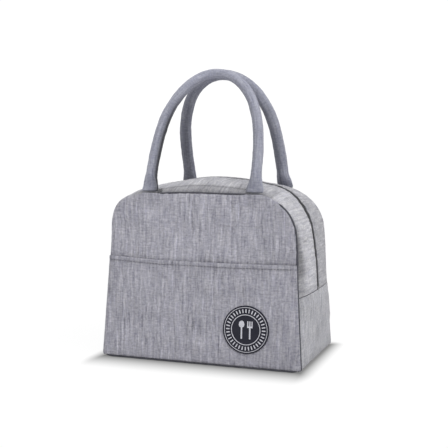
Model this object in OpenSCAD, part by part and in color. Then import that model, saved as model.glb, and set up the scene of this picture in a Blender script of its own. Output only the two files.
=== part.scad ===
// Soft insulated lunch bag: sewn fabric shell over foam with a foil lining,
// zipped over the top, with two padded carry handles and a slip pocket.
// +Z is up, -Y is the front, the origin is the middle of the flat base.
// All sizes are millimetres.

/* [Body] */
// Width across the base, outside
body_w = 225; // [200:1:260]
// Depth front to back at the base, outside
body_d = 139; // [125:1:155]
// Height of the front and rear top seams
seam_h = 180.5; // [165:0.5:200]
// Radius of the two top corners
corner_r = 44; // [36:1:48]
// Inward lean of each side, mm per mm of height
side_taper = 0.066; // [0.04:0.002:0.08]
// Inward lean of the front and rear, mm per mm of height
depth_taper = 0.054; // [0.04:0.001:0.06]
// Outward swell of the side strip halfway between front and rear
side_bulge = 5; // [3:0.5:6.5]
// Upward swell of the top strip halfway between front and rear
top_bulge = 14.5; // [9:0.5:16]

/* [Wall] */
// Thickness of the outer woven fabric
fabric_t = 1.0; // [0.8:0.1:1.1]
// Thickness of the foam insulation
foam_t = 3.0; // [2:0.5:4]
// Thickness of the foil lining
lining_t = 0.6; // [0.4:0.1:0.8]
// Gap left between neighbouring layers
gap = 0.15; // [0.1:0.05:0.2]

/* [Zip] */
// Height at which the zip ends on each side
zip_end_h = 75.5; // [68:0.5:88]
// Half width of the zip chain
chain_half = 2.6; // [2.2:0.1:2.8]
// Half width of the slot left between the fabric edges
zip_slot_half = 3.0; // [2.9:0.1:3.2]
// Width of each zip tape
tape_w = 11; // [9:1:14]
// Length of the zip pull tab
pull_len = 30; // [22:1:36]

/* [Pocket] */
// Height of the front pocket mouth
pocket_h = 109.5; // [95:0.5:125]
// Height of the folded hem at the pocket mouth
hem_h = 6; // [4:0.5:12]

/* [Handles] */
// Half the spacing between the two feet of a handle
handle_half = 58.3; // [52:0.1:60]
// Length of the handle arch from its foot to its crown
handle_len = 132.5; // [100:0.5:136]
// Inward lean of each handle at rest, degrees
handle_lean = 21.3; // [20:0.1:22]
// Radius of the padded round part of the handle
handle_r = 6.9; // [5.5:0.1:7.2]
// Half width of the flattened foot
foot_half = 9.7; // [8:0.1:10]
// Sideways set of the handle crown
crown_shift = -1; // [-3:0.5:3]

/* [Patch] */
// Diameter of the round patch
patch_d = 50; // [40:1:60]
// Sideways position of the patch centre
patch_x = 53.5; // [-50:0.5:60]
// Height of the patch centre
patch_z = 41; // [34:1:46]

/* [Hidden] */
$fn = 48;

// Colours
face_grey = [0.55, 0.55, 0.58];
side_grey = [0.66, 0.66, 0.69];
foam_white = [0.93, 0.93, 0.9];
foil = [0.8, 0.82, 0.84];
binding_grey = [0.38, 0.38, 0.41];
handle_grey = [0.6, 0.6, 0.66];
core_white = [0.9, 0.9, 0.88];
tape_grey = [0.3, 0.3, 0.33];
coil_grey = [0.2, 0.2, 0.23];
metal = [0.5, 0.51, 0.55];
print_grey = [0.78, 0.78, 0.82];
utensil_grey = [0.86, 0.86, 0.9];

// Depths below the outside surface
foam_outer = fabric_t + gap;
foam_inner = foam_outer + foam_t;
lining_outer = foam_inner + gap;
lining_inner = lining_outer + lining_t;

// Layers: [outer depth, inner depth, distance its edge stops behind the front face]
fabric = [0, fabric_t, 2.5];
foam = [foam_outer, foam_inner, foam_inner + gap];
lining = [lining_outer, lining_inner, lining_inner + gap];

// Front outline: leaning sides, rounded top corners and a straight top
side_angle = atan(side_taper);
face_angle = atan(depth_taper);
corner_z = seam_h - corner_r;
corner_x = body_w/2 - corner_r/cos(side_angle) - side_taper*corner_z;

// Distances along the outline, from the left foot over the top to the right foot
side_len = (corner_z + corner_r*sin(side_angle))/cos(side_angle);
corner_len = corner_r*(90 - side_angle)*PI/180;
path_len = 2*(side_len + corner_len + corner_x);
zip_end = zip_end_h/cos(side_angle);
knee = zip_end + 26;
fade_start = zip_end + 10;

// Mesh divisions
strip_rows = 48;
side_rows = 8;
half_cols = 5;

function half_width(z) = body_w/2 - side_taper*z;
function half_depth(z) = body_d/2 - depth_taper*z;
function ease(x) = let(part = max(0, min(1, x))) part*part*(3 - 2*part);

// [x, z, normal x, normal z] on the left half of the outline
function left_path(along) =
  along < side_len ?
    [-body_w/2 + along*sin(side_angle), along*cos(side_angle), -cos(side_angle), sin(side_angle)] :
  along < side_len + corner_len ?
    let(angle = side_angle + (along - side_len)/corner_r*180/PI)
    [-corner_x - corner_r*cos(angle), corner_z + corner_r*sin(angle), -cos(angle), sin(angle)] :
  [-corner_x + along - side_len - corner_len, seam_h, 0, 1];
// the same for the whole outline
function path(along) =
  along <= path_len/2 ? left_path(along) :
  let(twin = left_path(path_len - along)) [-twin[0], twin[1], -twin[2], twin[3]];

// the side swell dies away towards the corner, where the top swell takes over
function swell(along) =
  let(from_foot = min(along, path_len - along),
      fade_len = side_len + corner_len/2 - fade_start)
  side_bulge*ease(from_foot/zip_end)*(1 - ease((from_foot - fade_start)/fade_len))
  + top_bulge*ease((from_foot - side_len)/(path_len/2 - side_len));
// point of the swollen strip, depth below the outside
function strip_point(along, y, depth) =
  let(base = path(along),
      across = y/half_depth(base[1]),
      out = swell(along)*max(0, 1 - across*across) - depth)
  [base[0] + base[2]*out, y, base[1] + base[3]*out];
// how far forward of the middle a strip reaches, stopping setback behind the front face
function reach(along, depth, setback) =
  let(base = path(along)) half_depth(base[1] - base[3]*depth) - setback;

// row i of a strip from start to end; only the first and last three rows
// depend on start and end, so layers stay parallel
function station(i, start, end) = lookup(i, [
  [0, start],
  [3, knee],
  [8, side_len],
  [18, side_len + corner_len],
  [30, path_len - side_len - corner_len],
  [40, path_len - side_len],
  [45, path_len - knee],
  [strip_rows, end]]);

function triangles(quads) =
  [for (q = quads) each [[q[0], q[1], q[2]], [q[0], q[2], q[3]]]];

// closed sheet over a grid: along_at(i, depth, j) and y_at(along, depth, j) place each point
module sheet(along_at, y_at, rows, cols, layer) {
  points = [for (depth = [layer[0], layer[1]]) for (i = [0:rows]) for (j = [0:cols])
    let(along = along_at(i, depth, j)) strip_point(along, y_at(along, depth, j), depth)];
  id = function (k, i, j) (k*(rows + 1) + i)*(cols + 1) + j;
  quads = concat(
    [for (i = [0:rows-1]) for (j = [0:cols-1])
      [id(0, i, j), id(0, i, j+1), id(0, i+1, j+1), id(0, i+1, j)]],
    [for (i = [0:rows-1]) for (j = [0:cols-1])
      [id(1, i, j), id(1, i+1, j), id(1, i+1, j+1), id(1, i, j+1)]],
    [for (i = [0:rows-1]) [id(0, i, 0), id(0, i+1, 0), id(1, i+1, 0), id(1, i, 0)]],
    [for (i = [0:rows-1])
      [id(0, i, cols), id(1, i, cols), id(1, i+1, cols), id(0, i+1, cols)]],
    [for (j = [0:cols-1]) [id(0, 0, j), id(1, 0, j), id(1, 0, j+1), id(0, 0, j+1)]],
    [for (j = [0:cols-1])
      [id(0, rows, j), id(0, rows, j+1), id(1, rows, j+1), id(1, rows, j)]]);
  polyhedron(points, triangles(quads), convexity = 6);
}

// front outline pulled in by inset, cut between two heights
module outline(inset, bottom, top) {
  radius = corner_r - inset;
  edge_x = function (z) half_width(z) - inset/cos(side_angle);
  tangent_x = corner_x + radius*cos(side_angle);
  tangent_z = corner_z + radius*sin(side_angle);
  intersection() {
    union() {
      polygon([
        [-edge_x(bottom), bottom], [edge_x(bottom), bottom],
        [tangent_x, tangent_z], [corner_x, seam_h - inset],
        [-corner_x, seam_h - inset], [-tangent_x, tangent_z]]);
      for (x = [-corner_x, corner_x])
        translate([x, corner_z]) circle(r = radius, $fn = 96);
    }
    translate([-body_w, bottom]) square([2*body_w, top - bottom]);
  }
}
// carries a child drawn upright, y measured behind the face, onto the leaning face
module on_front() translate([0, -body_d/2, 0]) rotate([-face_angle, 0, 0]) children();
module to_rear() mirror([0, 1, 0]) children();
module on_rear() to_rear() on_front() children();
module to_right() mirror([1, 0, 0]) children();
// plate of the outline between two depths behind the face
module plate(inset, bottom, top, outer, inner)
  translate([0, inner, inner*sin(face_angle)]) rotate([90, 0, 0])
    linear_extrude(height = inner - outer) outline(inset, bottom, top);

// ---- base ----
base_side_gap = 0.1;
module base_sheet(layer) {
  x = half_width(layer[1]) - layer[0] - base_side_gap;
  y = half_depth(layer[1]) - layer[2];
  translate([-x, -y, layer[0]]) cube([2*x, 2*y, layer[1] - layer[0]]);
}
module base_panel() color(face_grey) base_sheet(fabric);
module base_foam() color(foam_white) base_sheet(foam);
module base_lining() color(foil) base_sheet(lining);

// ---- lower sides ----
// clearances at the lower and upper edges of a side sheet
side_foot_gap = 0.2;
zip_end_gap = 0.1;
// left side between the front and rear seams, up to the zip end
module side_sheet(layer) {
  start = layer[1] + gap + side_foot_gap;
  end = zip_end - zip_end_gap;
  y_at = function (along, depth, j)
    j == 0 ? -reach(along, depth, layer[2]) :
    j == 2*half_cols ? reach(along, depth, layer[2]) :
    (j - half_cols)/half_cols*half_depth(path(along)[1]);
  along_at = function (i, depth, j) start + (end - start)*i/side_rows;
  sheet(along_at, y_at, side_rows, 2*half_cols, layer);
}
module left_side_panel() color(side_grey) side_sheet(fabric);
module left_side_foam() color(foam_white) side_sheet(foam);
module left_side_lining() color(foil) side_sheet(lining);
module right_side_panel() color(side_grey) to_right() side_sheet(fabric);
module right_side_foam() color(foam_white) to_right() side_sheet(foam);
module right_side_lining() color(foil) to_right() side_sheet(lining);

// ---- front and rear faces ----
above_seam = seam_h + 1; // cut height clear of the top seam
lower_foam_top = zip_end_h - 1;
upper_foam_bottom = zip_end_h + 0.4*body_d/2 - 3;
binding_w = 1.0;
binding_inner = 2.35;
// flattened handle ends and the slots cleared for them
anchor_size = [2*foot_half, 1.0, 14.0];
anchor_y = 1.25;
anchor_drop = 16;
slot_side_gap = 0.4;
slot_foot_gap = 0.5;
slot_h = 20;
foam_slot_depth = 2.4;
binding_slot_depth = 4;

module anchor_slots(depth)
  for (side = [-1, 1])
    translate([side*handle_half - foot_half - slot_side_gap, 0,
               seam_h - anchor_drop - slot_foot_gap])
      cube([2*(foot_half + slot_side_gap), depth, slot_h]);
module face_panel() plate(0, 0.05, above_seam, 0, fabric_t);
module face_foam_lower() plate(foam_outer, foam_outer, lower_foam_top, foam_outer, foam_inner);
module face_foam_upper() difference() {
  plate(foam_outer, upper_foam_bottom, seam_h, foam_outer, foam_inner);
  anchor_slots(foam_slot_depth);
}
module face_lining() plate(lining_outer, lining_outer, seam_h, lining_outer, lining_inner);
// narrow folded band between a face and the side strip, all the way round the outline
module face_binding() difference() {
  plate(0, 0.1, above_seam, fabric_t + gap, binding_inner);
  translate([0, -1, 0]) plate(binding_w, 0.95, above_seam, fabric_t + gap - 1, 5);
  anchor_slots(binding_slot_depth);
}
// flattened handle ends sewn into the top seam
module face_anchors()
  for (side = [-1, 1])
    translate([side*handle_half - foot_half, anchor_y, seam_h - anchor_drop]) cube(anchor_size);

module front_panel() color(face_grey) on_front() face_panel();
module rear_panel() color(face_grey) on_rear() face_panel();
module front_foam_lower() color(foam_white) on_front() face_foam_lower();
module rear_foam_lower() color(foam_white) on_rear() face_foam_lower();
module front_foam_upper() color(foam_white) on_front() face_foam_upper();
module rear_foam_upper() color(foam_white) on_rear() face_foam_upper();
module front_lining() color(foil) on_front() face_lining();
module rear_lining() color(foil) on_rear() face_lining();
module front_binding() color(binding_grey) on_front() face_binding();
module rear_binding() color(binding_grey) on_rear() face_binding();
module front_handle_anchors() color(handle_grey) on_front() face_anchors();
module rear_handle_anchors() color(handle_grey) on_rear() face_anchors();

// ---- pocket ----
pocket_y = -gap - fabric_t; // outside of the pocket fabric
pocket_inset = 0.2;
hem_bottom = pocket_h - hem_h;
stitch_size = [2.8, 0.3, 0.5];
stitch_pitch = 4;
stitch_reach = 25; // stitches each side of the middle one

module front_pocket() color(face_grey) on_front() {
  plate(pocket_inset, 0.1, pocket_h, pocket_y, -gap);
  plate(pocket_inset, hem_bottom, pocket_h, pocket_y - 0.5, pocket_y + 0.1);
}
module pocket_hem_stitching() color([0.5, 0.5, 0.54]) on_front()
  for (i = [-stitch_reach:stitch_reach])
    translate([i*stitch_pitch - stitch_size[0]/2, pocket_y - 0.85, hem_bottom + 1])
      cube(stitch_size);

// ---- patch ----
patch_t = 1.4;
patch_y = pocket_y - 0.1;
print_y = patch_y - patch_t - 0.05;
print_t = 0.3;
outer_ring_r = patch_d/2 - 1.6;
outer_ring_w = 0.5;
inner_ring_r = patch_d*0.31; // middle of the ring
inner_ring_w = 0.7;
dash_ring_r = patch_d*0.39;
dash_size = [3.8, 1.1, print_t];
dash_count = 36;
utensil_t = 0.4;
utensil_x = 4.5; // spoon left, fork right of the patch centre
stem_w = 1.5;
stem_foot = -9.5;
fork_w = 5.8;
tine_w = 1.2;

// patch centre on the front, with +Z pointing out of the bag and +Y up
module on_patch(y) on_front() translate([patch_x, y, patch_z]) rotate([90, 0, 0]) children();
module print_ring(outer_r, inner_r) difference() {
  cylinder(r = outer_r, h = print_t, $fn = 96);
  translate([0, 0, -1]) cylinder(r = inner_r, h = print_t + 2, $fn = 96);
}
module stem(length) translate([-stem_w/2, stem_foot, 0]) cube([stem_w, length, utensil_t]);

module patch_disc() color([0.12, 0.12, 0.15]) on_patch(patch_y)
  cylinder(d = patch_d, h = patch_t, $fn = 96);
module patch_rings() color(print_grey) on_patch(print_y) {
  print_ring(outer_ring_r, outer_ring_r - outer_ring_w);
  print_ring(inner_ring_r + inner_ring_w/2, inner_ring_r - inner_ring_w/2);
}
module patch_dashes() color(print_grey) on_patch(print_y)
  for (i = [0:dash_count-1])
    rotate([0, 0, i*360/dash_count])
      translate([dash_ring_r - dash_size[0]/2, -dash_size[1]/2, 0]) cube(dash_size);
module patch_spoon() color(utensil_grey) on_patch(print_y) translate([-utensil_x, 0, 0]) {
  // bowl of two overlapping discs
  translate([0, 5.2, 0]) cylinder(r = 3, h = utensil_t);
  translate([0, 6.6, 0]) cylinder(r = 2.6, h = utensil_t);
  stem(13);
}
module patch_fork() color(utensil_grey) on_patch(print_y) translate([utensil_x, 0, 0]) {
  stem(12);
  translate([-fork_w/2, 2.2, 0]) cube([fork_w, 1.6, utensil_t]);
  for (i = [0:2])
    translate([-fork_w/2 + i*(fork_w - tine_w)/2, 3.6, 0]) cube([tine_w, 5.4, utensil_t]);
}

// ---- top strips ----
foam_end_gap = 1.2;
foam_slot_half = tape_w + 0.4;
lining_slot_half = 4.5;
foam_end_slope = tan(20);
// half strip from the front seam to slot_half short of the middle;
// slope raises its two ends towards the front
module gusset(layer, end_gap, slot_half, slope = 0) {
  y_at = function (along, depth, j)
    j == 0 ? -reach(along, depth, layer[2]) :
    j == half_cols ? -slot_half :
    min((j - half_cols)/half_cols*half_depth(path(along)[1]), -slot_half - 0.4*(half_cols - j));
  along_at = function (i, depth, j)
    let(rise = end_gap + slope*abs(y_at(zip_end, depth, j)))
    station(i, zip_end + rise, path_len - zip_end - rise);
  sheet(along_at, y_at, strip_rows, half_cols, layer);
}
module gusset_fabric() gusset(fabric, zip_end_gap, zip_slot_half);
module gusset_foam() gusset(foam, foam_end_gap, foam_slot_half, foam_end_slope);
module gusset_lining() gusset(lining, zip_end_gap, lining_slot_half);
module front_gusset() color(side_grey) gusset_fabric();
module rear_gusset() color(side_grey) to_rear() gusset_fabric();
module front_gusset_foam() color(foam_white) gusset_foam();
module rear_gusset_foam() color(foam_white) to_rear() gusset_foam();
module front_gusset_lining() color(foil) gusset_lining();
module rear_gusset_lining() color(foil) to_rear() gusset_lining();

// ---- zip ----
zip_left = zip_end + 6.6;
zip_right = path_len - zip_end - 3.4;
slider_along = zip_end + 10;
bottom_stop_along = zip_end + 1.9;

// zip-long band between two y positions and two depths
module band(front_y, rear_y, outer, inner) {
  points = [for (i = [0:strip_rows]) let(along = station(i, zip_left, zip_right)) each [
    strip_point(along, front_y, outer), strip_point(along, rear_y, outer),
    strip_point(along, rear_y, inner), strip_point(along, front_y, inner)]];
  walls = [for (i = [0:strip_rows-1]) for (j = [0:3])
    [i*4 + j, i*4 + (j + 1)%4, (i + 1)*4 + (j + 1)%4, (i + 1)*4 + j]];
  last = strip_rows*4;
  caps = [[3, 2, 1, 0], [last, last + 1, last + 2, last + 3]];
  polyhedron(points, triangles(concat(walls, caps)), convexity = 6);
}
module tape() band(-tape_w, -0.3, fabric_t + 0.25, fabric_t + 0.85);
module chain() band(-chain_half, -0.15, -0.9, 0.95);
module front_zip_tape() color(tape_grey) tape();
module rear_zip_tape() color(tape_grey) to_rear() tape();
module front_zip_coil() color(coil_grey) chain();
module rear_zip_coil() color(coil_grey) to_rear() chain();

// places a child on the left side strip, with -X pointing outward and +Z up along the zip
module on_left(along) translate(strip_point(along, 0, 0)) rotate([0, side_angle, 0]) children();

slider_half = 4.6;
slider_foot = -6.5;
slider_body_h = 9; // straight part, below the rounded end
slider_t = 1.5;
slider_x = -2.7; // outer surface of the outer plate
flange_w = 1.4;
pin_x = -4.1; // axis of the pull's pin
pin_half = 2.9;
pull_t = 1.4;
pull_half = 3.4;
arm_w = 1.3;
arm_foot = -9;
stop_x = -0.9;
stop_t = 1.7;
stop_h = 2.4;

module slider_body() color([0.45, 0.46, 0.5]) on_left(slider_along) difference() {
  union() {
    // outer plate with a rounded upper end
    translate([slider_x, -slider_half, slider_foot])
      cube([slider_t, 2*slider_half, slider_body_h]);
    translate([slider_x + slider_t, 0, slider_foot + slider_body_h]) rotate([0, -90, 0])
      cylinder(r = slider_half, h = slider_t);
    // flanges along its front and rear edges
    for (y = [-slider_half, slider_half - flange_w])
      translate([-1.3, y, slider_foot]) cube([1.0, flange_w, slider_body_h]);
    // wedge post that parts the chain
    translate([-1.4, -0.8, -6.2]) cube([4.5, 1.6, 2.5]);
    // inner plate
    translate([3.0, -4.2, slider_foot]) cube([1.0, 8.4, 11]);
    // bridge that holds the pull
    translate([-5.6, -1.4, -3.6]) cube([3.0, 2.8, 7.2]);
  }
  // pin hole
  translate([pin_x, -3, 0]) rotate([-90, 0, 0]) cylinder(r = 1.0, h = 6);
}
module pull_tab() color(metal) on_left(slider_along) translate([pin_x, 0, 0]) difference() {
  union() {
    // pin and the two arms that carry it
    translate([0, -pin_half, 0]) rotate([-90, 0, 0]) cylinder(r = 0.9, h = 2*pin_half);
    for (y = [-pin_half, pin_half - arm_w])
      translate([-pull_t/2, y, arm_foot]) cube([pull_t, arm_w, 9.2]);
    // tab with a rounded lower end
    translate([-pull_t/2, -pull_half, -pull_len + pull_half])
      cube([pull_t, 2*pull_half, pull_len - pull_half + arm_foot + 1]);
    translate([-pull_t/2, 0, -pull_len + pull_half]) rotate([0, 90, 0])
      cylinder(r = pull_half, h = pull_t);
  }
  translate([-2, 0, -pull_len + 3.6]) rotate([0, 90, 0]) cylinder(r = 1.5, h = 4);
}
module zip_top_stops() color(metal) on_left(slider_along)
  for (y = [-2.3, 0.5]) translate([stop_x, y, -9.4]) cube([stop_t, 1.8, stop_h]);
module zip_bottom_stop() color(metal) to_right() on_left(bottom_stop_along)
  translate([stop_x, -2.4, -stop_h/2]) cube([stop_t, 4.8, stop_h]);

// ---- handles ----
handle_y = -(half_depth(seam_h) - 1.75);
handle_z = seam_h + 1.8;
arch_power = 2/0.64; // superellipse exponent: higher is squarer
foot_half_t = 1.2;
flat_len = 1; // length of foot before it starts to round out
rounding_len = 17;
cover_t = 1.2;
core_inset = 1.35;
arch_steps = 22; // rings from a foot to the crown
ring_sides = 14;
core_skip = 3; // rings left without core at each foot

// [sideways, lengthwise] in the handle's plane; part runs 0 to 1 from a foot to the crown
function arch(part, side) =
  let(rise = sin(90*part), spread = sqrt(max(0, 1 - pow(rise, arch_power))))
  [side*handle_half*spread + crown_shift*rise*rise, handle_len*rise];
function arch_at(i) =
  i <= arch_steps ? arch(i/arch_steps, 1) : arch((2*arch_steps - i)/arch_steps, -1);
function arch_dir(i) =
  let(step = arch_at(min(2*arch_steps, i + 0.25)) - arch_at(max(0, i - 0.25))) step/norm(step);
// [half width, half thickness] of the handle at a distance from its foot
function girth(distance) =
  let(part = ease((distance - flat_len)/rounding_len))
  [foot_half + (handle_r - foot_half)*part, foot_half_t + (handle_r - foot_half_t)*part];
function arch_ring(i, inset) =
  let(centre = arch_at(i), dir = arch_dir(i), size = girth(centre[1]),
      half_w = size[0] - inset, half_t = max(0.3, size[1] - inset))
  [for (k = [0:ring_sides-1])
    let(across = half_w*cos(360*k/ring_sides),
        through = half_t*sin(360*k/ring_sides),
        length = centre[1] - dir[0]*across)
    [centre[0] + dir[1]*across,
     handle_y + length*sin(handle_lean) + through*cos(handle_lean),
     handle_z + length*cos(handle_lean) - through*sin(handle_lean)]];

// hollow tube, open at both feet
module handle_cover() {
  last = 2*arch_steps;
  points = [for (inset = [0, cover_t]) for (i = [0:last]) each arch_ring(i, inset)];
  id = function (k, i, j) (k*(last + 1) + i)*ring_sides + j%ring_sides;
  quads = concat(
    [for (i = [0:last-1]) for (j = [0:ring_sides-1])
      [id(0, i, j), id(0, i+1, j), id(0, i+1, j+1), id(0, i, j+1)]],
    [for (i = [0:last-1]) for (j = [0:ring_sides-1])
      [id(1, i, j), id(1, i, j+1), id(1, i+1, j+1), id(1, i+1, j)]],
    [for (j = [0:ring_sides-1]) [id(0, 0, j), id(0, 0, j+1), id(1, 0, j+1), id(1, 0, j)]],
    [for (j = [0:ring_sides-1])
      [id(0, last, j), id(1, last, j), id(1, last, j+1), id(0, last, j+1)]]);
  polyhedron(points, triangles(quads), convexity = 8);
}
// solid padding inside the cover
module handle_core() {
  last = 2*(arch_steps - core_skip);
  points = [for (i = [0:last]) each arch_ring(i + core_skip, core_inset)];
  id = function (i, j) i*ring_sides + j%ring_sides;
  walls = [for (i = [0:last-1]) for (j = [0:ring_sides-1])
    [id(i, j), id(i+1, j), id(i+1, j+1), id(i, j+1)]];
  caps = [[for (j = [0:ring_sides-1]) id(0, j)], [for (j = [ring_sides-1:-1:0]) id(last, j)]];
  polyhedron(points, concat(triangles(walls), caps), convexity = 8);
}
module front_handle_cover() color(handle_grey) handle_cover();
module front_handle_core() color(core_white) handle_core();
module rear_handle_cover() color([0.45, 0.45, 0.49]) to_rear() handle_cover();
module rear_handle_core() color(core_white) to_rear() handle_core();

base_panel();
base_foam();
base_lining();
left_side_panel();
left_side_foam();
left_side_lining();
right_side_panel();
right_side_foam();
right_side_lining();
front_panel();
front_foam_lower();
front_lining();
front_binding();
front_pocket();
pocket_hem_stitching();
rear_panel();
rear_foam_lower();
rear_lining();
rear_binding();
patch_disc();
patch_rings();
patch_dashes();
patch_spoon();
patch_fork();
zip_top_stops();
zip_bottom_stop();
front_gusset();
front_gusset_foam();
front_gusset_lining();
front_foam_upper();
front_handle_anchors();
front_zip_tape();
front_zip_coil();
rear_gusset();
rear_gusset_foam();
rear_gusset_lining();
rear_foam_upper();
rear_handle_anchors();
rear_zip_tape();
rear_zip_coil();
front_handle_cover();
front_handle_core();
rear_handle_cover();
rear_handle_core();
slider_body();
pull_tab();
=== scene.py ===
"""A soft insulated bag with a zip over the top, a front slip pocket and two padded handles.

It stands on z = 0, centred on the z axis. The front faces -y, and left is -x.
Lengths are in millimetres and are scaled to metres as each mesh is made.
Shader lengths are in metres.
"""
import math

import bmesh
import bpy
import numpy as np
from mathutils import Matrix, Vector


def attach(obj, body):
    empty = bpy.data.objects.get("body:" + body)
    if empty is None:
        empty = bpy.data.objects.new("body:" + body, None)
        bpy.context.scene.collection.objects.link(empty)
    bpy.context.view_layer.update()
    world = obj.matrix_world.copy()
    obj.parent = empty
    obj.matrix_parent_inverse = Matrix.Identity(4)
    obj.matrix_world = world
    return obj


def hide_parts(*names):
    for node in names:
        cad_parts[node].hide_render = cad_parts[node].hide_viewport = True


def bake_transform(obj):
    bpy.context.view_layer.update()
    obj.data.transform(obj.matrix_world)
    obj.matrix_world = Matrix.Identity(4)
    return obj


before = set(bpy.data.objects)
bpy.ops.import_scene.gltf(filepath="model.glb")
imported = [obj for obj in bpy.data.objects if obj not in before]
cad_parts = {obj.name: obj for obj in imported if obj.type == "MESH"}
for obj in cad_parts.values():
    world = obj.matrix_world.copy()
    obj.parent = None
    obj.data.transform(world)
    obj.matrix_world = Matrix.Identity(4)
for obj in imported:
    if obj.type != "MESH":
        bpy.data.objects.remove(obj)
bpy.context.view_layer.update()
scene = bpy.context.scene

# ---------------------------------------------------------------- sizes
MM = 0.001
WIDTH, DEPTH, HEIGHT, CORNER_R = 225.0, 139.0, 180.5, 44.0
SIDE_TAPER, FACE_TAPER = 0.066, 0.054  # inward run per unit of height
SIDE_BULGE, TOP_BULGE = 5.0, 14.5
SIDE_LEAN, FACE_LEAN = math.atan(SIDE_TAPER), math.atan(FACE_TAPER)
LEAN_COS, LEAN_SIN = math.cos(FACE_LEAN), math.sin(FACE_LEAN)

# the outline path runs up the left side, over the top and down the right side
CORNER_Z = HEIGHT - CORNER_R
CORNER_X = WIDTH / 2 - CORNER_R / math.cos(SIDE_LEAN) - SIDE_TAPER * CORNER_Z
SIDE_LEN = (CORNER_Z + CORNER_R * math.sin(SIDE_LEAN)) / math.cos(SIDE_LEAN)
ARC_LEN = CORNER_R * (math.pi / 2 - SIDE_LEAN)
MIDDLE = SIDE_LEN + ARC_LEN + CORNER_X
PATH_LEN = 2 * MIDDLE
ZIP_Z = 75.5
ZIP_START = ZIP_Z / math.cos(SIDE_LEAN)  # path length where lower side meets top strips

HEM_Z, HEM_H = 109.5, 6.0
HEM_STITCH_Z = HEM_Z - 4.6
PATCH_X, PATCH_Z, PATCH_R = 53.5, 41.0, 25.0

FOOT_X = 58.3
FOOT_OUT = 0.3  # the sewn feet sit this far outward of the legs
SEWN_X = FOOT_X + FOOT_OUT
FEET = np.array([-SEWN_X, SEWN_X])
FOOT_HALF = 9.0
HANDLE_LEN, HANDLE_LEAN, CROWN_X = 134.0, math.radians(21.3), -1.0
HINGE_Y, HINGE_Z = -(DEPTH / 2 - FACE_TAPER * HEIGHT - 1.75), HEIGHT + 1.8

# the two halves of the bag
HALVES = ("front", "rear")

# distances from a sewn edge at which grid lines crowd together
FACE_EDGE = np.array([0, 0.35, 0.9, 1.8, 3.0, 4.8])
STRIP_EDGE = np.array([0, 0.35, 0.9, 1.8, 3.0, 4.6])
BOTTOM_EDGE = np.array([0, 0.35, 0.9, 1.7, 2.8, 4.4])
TOP_EDGE = np.array([4.4, 2.9, 1.8, 1.0, 0.45, 0.12, 0.0])


# ---------------------------------------------------------------- falloffs and noise
def ease(value):
    """Smooth step from 0 to 1."""
    value = np.clip(value, 0, 1)
    return value * value * (3 - 2 * value)


def hump(offset, width, power=2):
    """1 at no offset, falling away on both sides."""
    return np.exp(-np.abs(offset / width) ** power)


def fade(distance, reach):
    """1 at an edge, dying away with the distance from it."""
    return np.exp(-np.maximum(distance, 0) / reach)


def rolled(distance, width, deep):
    """How far an edge sinks at a distance from its seam: a quarter-round."""
    inward = np.clip(1 - distance / width, 0, 1)
    return deep * (1 - np.sqrt(np.maximum(1 - inward * inward, 0)))


def noise(across, up, seed, octaves=3, gain=0.5):
    """Smooth seeded noise, about -1 to 1, with features one unit long."""
    random = np.random.default_rng(seed)
    waves = 7
    out, strength, rate, total = 0 * (across + up), 1.0, 1.0, 0.0
    for _ in range(octaves):
        for _ in range(waves):
            turn = random.uniform(0, 2 * math.pi)
            pace = rate * random.uniform(0.6, 1.5) * 2 * math.pi
            phase = random.uniform(0, 2 * math.pi)
            ramp = math.cos(turn) * across + math.sin(turn) * up
            out = out + strength * np.sin(pace * ramp + phase)
        total += strength * waves ** 0.5
        strength *= gain
        rate *= 2.03
    return out / (total * 0.9)


def creases(across, up, seed, sharp):
    """Ridged noise, 0 to 1, with narrow crests."""
    ridge = 1 - np.abs(np.clip(noise(across, up, seed, 2, 0.45) * 1.3, -1, 1))
    return ridge ** sharp


# ---------------------------------------------------------------- form of the bag
def half_w(z):
    return WIDTH / 2 - SIDE_TAPER * z


def half_d(z):
    return DEPTH / 2 - FACE_TAPER * z


def path(along):
    """x, z and the outward normal at a length along the outline path."""
    right = along > PATH_LEN / 2
    climb = np.where(right, PATH_LEN - along, along)
    angle = SIDE_LEAN + (climb - SIDE_LEN) / CORNER_R
    cos, sin = np.cos(angle), np.sin(angle)
    side_cos, side_sin = math.cos(SIDE_LEAN), math.sin(SIDE_LEAN)

    def pick(side, arc, top):
        upper = np.where(climb < SIDE_LEN + ARC_LEN, arc, top)
        return np.where(climb < SIDE_LEN, side, upper)

    x = pick(-WIDTH / 2 + climb * side_sin, -CORNER_X - CORNER_R * cos,
             -CORNER_X + climb - SIDE_LEN - ARC_LEN)
    z = pick(climb * side_cos, CORNER_Z + CORNER_R * sin, HEIGHT)
    normal_x = pick(-side_cos, -cos, 0.0)
    sign = np.where(right, -1, 1)
    return x * sign, z, np.stack([normal_x * sign, 0 * x, pick(side_sin, sin, 1.0)], -1)


def bulge(along):
    climb = np.minimum(along, PATH_LEN - along)
    start = ZIP_START + 10
    side = ease(climb / ZIP_START)
    side = side * (1 - ease((climb - start) / (SIDE_LEN + ARC_LEN / 2 - start)))
    return SIDE_BULGE * side + TOP_BULGE * ease((climb - SIDE_LEN) / (MIDDLE - SIDE_LEN))


def strip_point(along, y, out):
    """Point on the swollen strip round the sides and top, moved out of it by out."""
    x, z, normal = path(along)
    lift = bulge(along) * np.maximum(0, 1 - np.abs(y / half_d(z)) ** 2.8) + out
    return np.stack([x, y + 0 * x, z], -1) + normal * lift[..., None]


def face_point(x, height, out, half):
    """Point on the leaning front or rear face, moved out of it by out."""
    y = -DEPTH / 2 + height * LEAN_SIN - out * LEAN_COS
    z = height * LEAN_COS + out * LEAN_SIN
    return np.stack([x + 0 * y, -y if half == "rear" else y, z], -1)


def face_out(half):
    return np.array([0, (1 if half == "rear" else -1) * LEAN_COS, LEAN_SIN])


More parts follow.
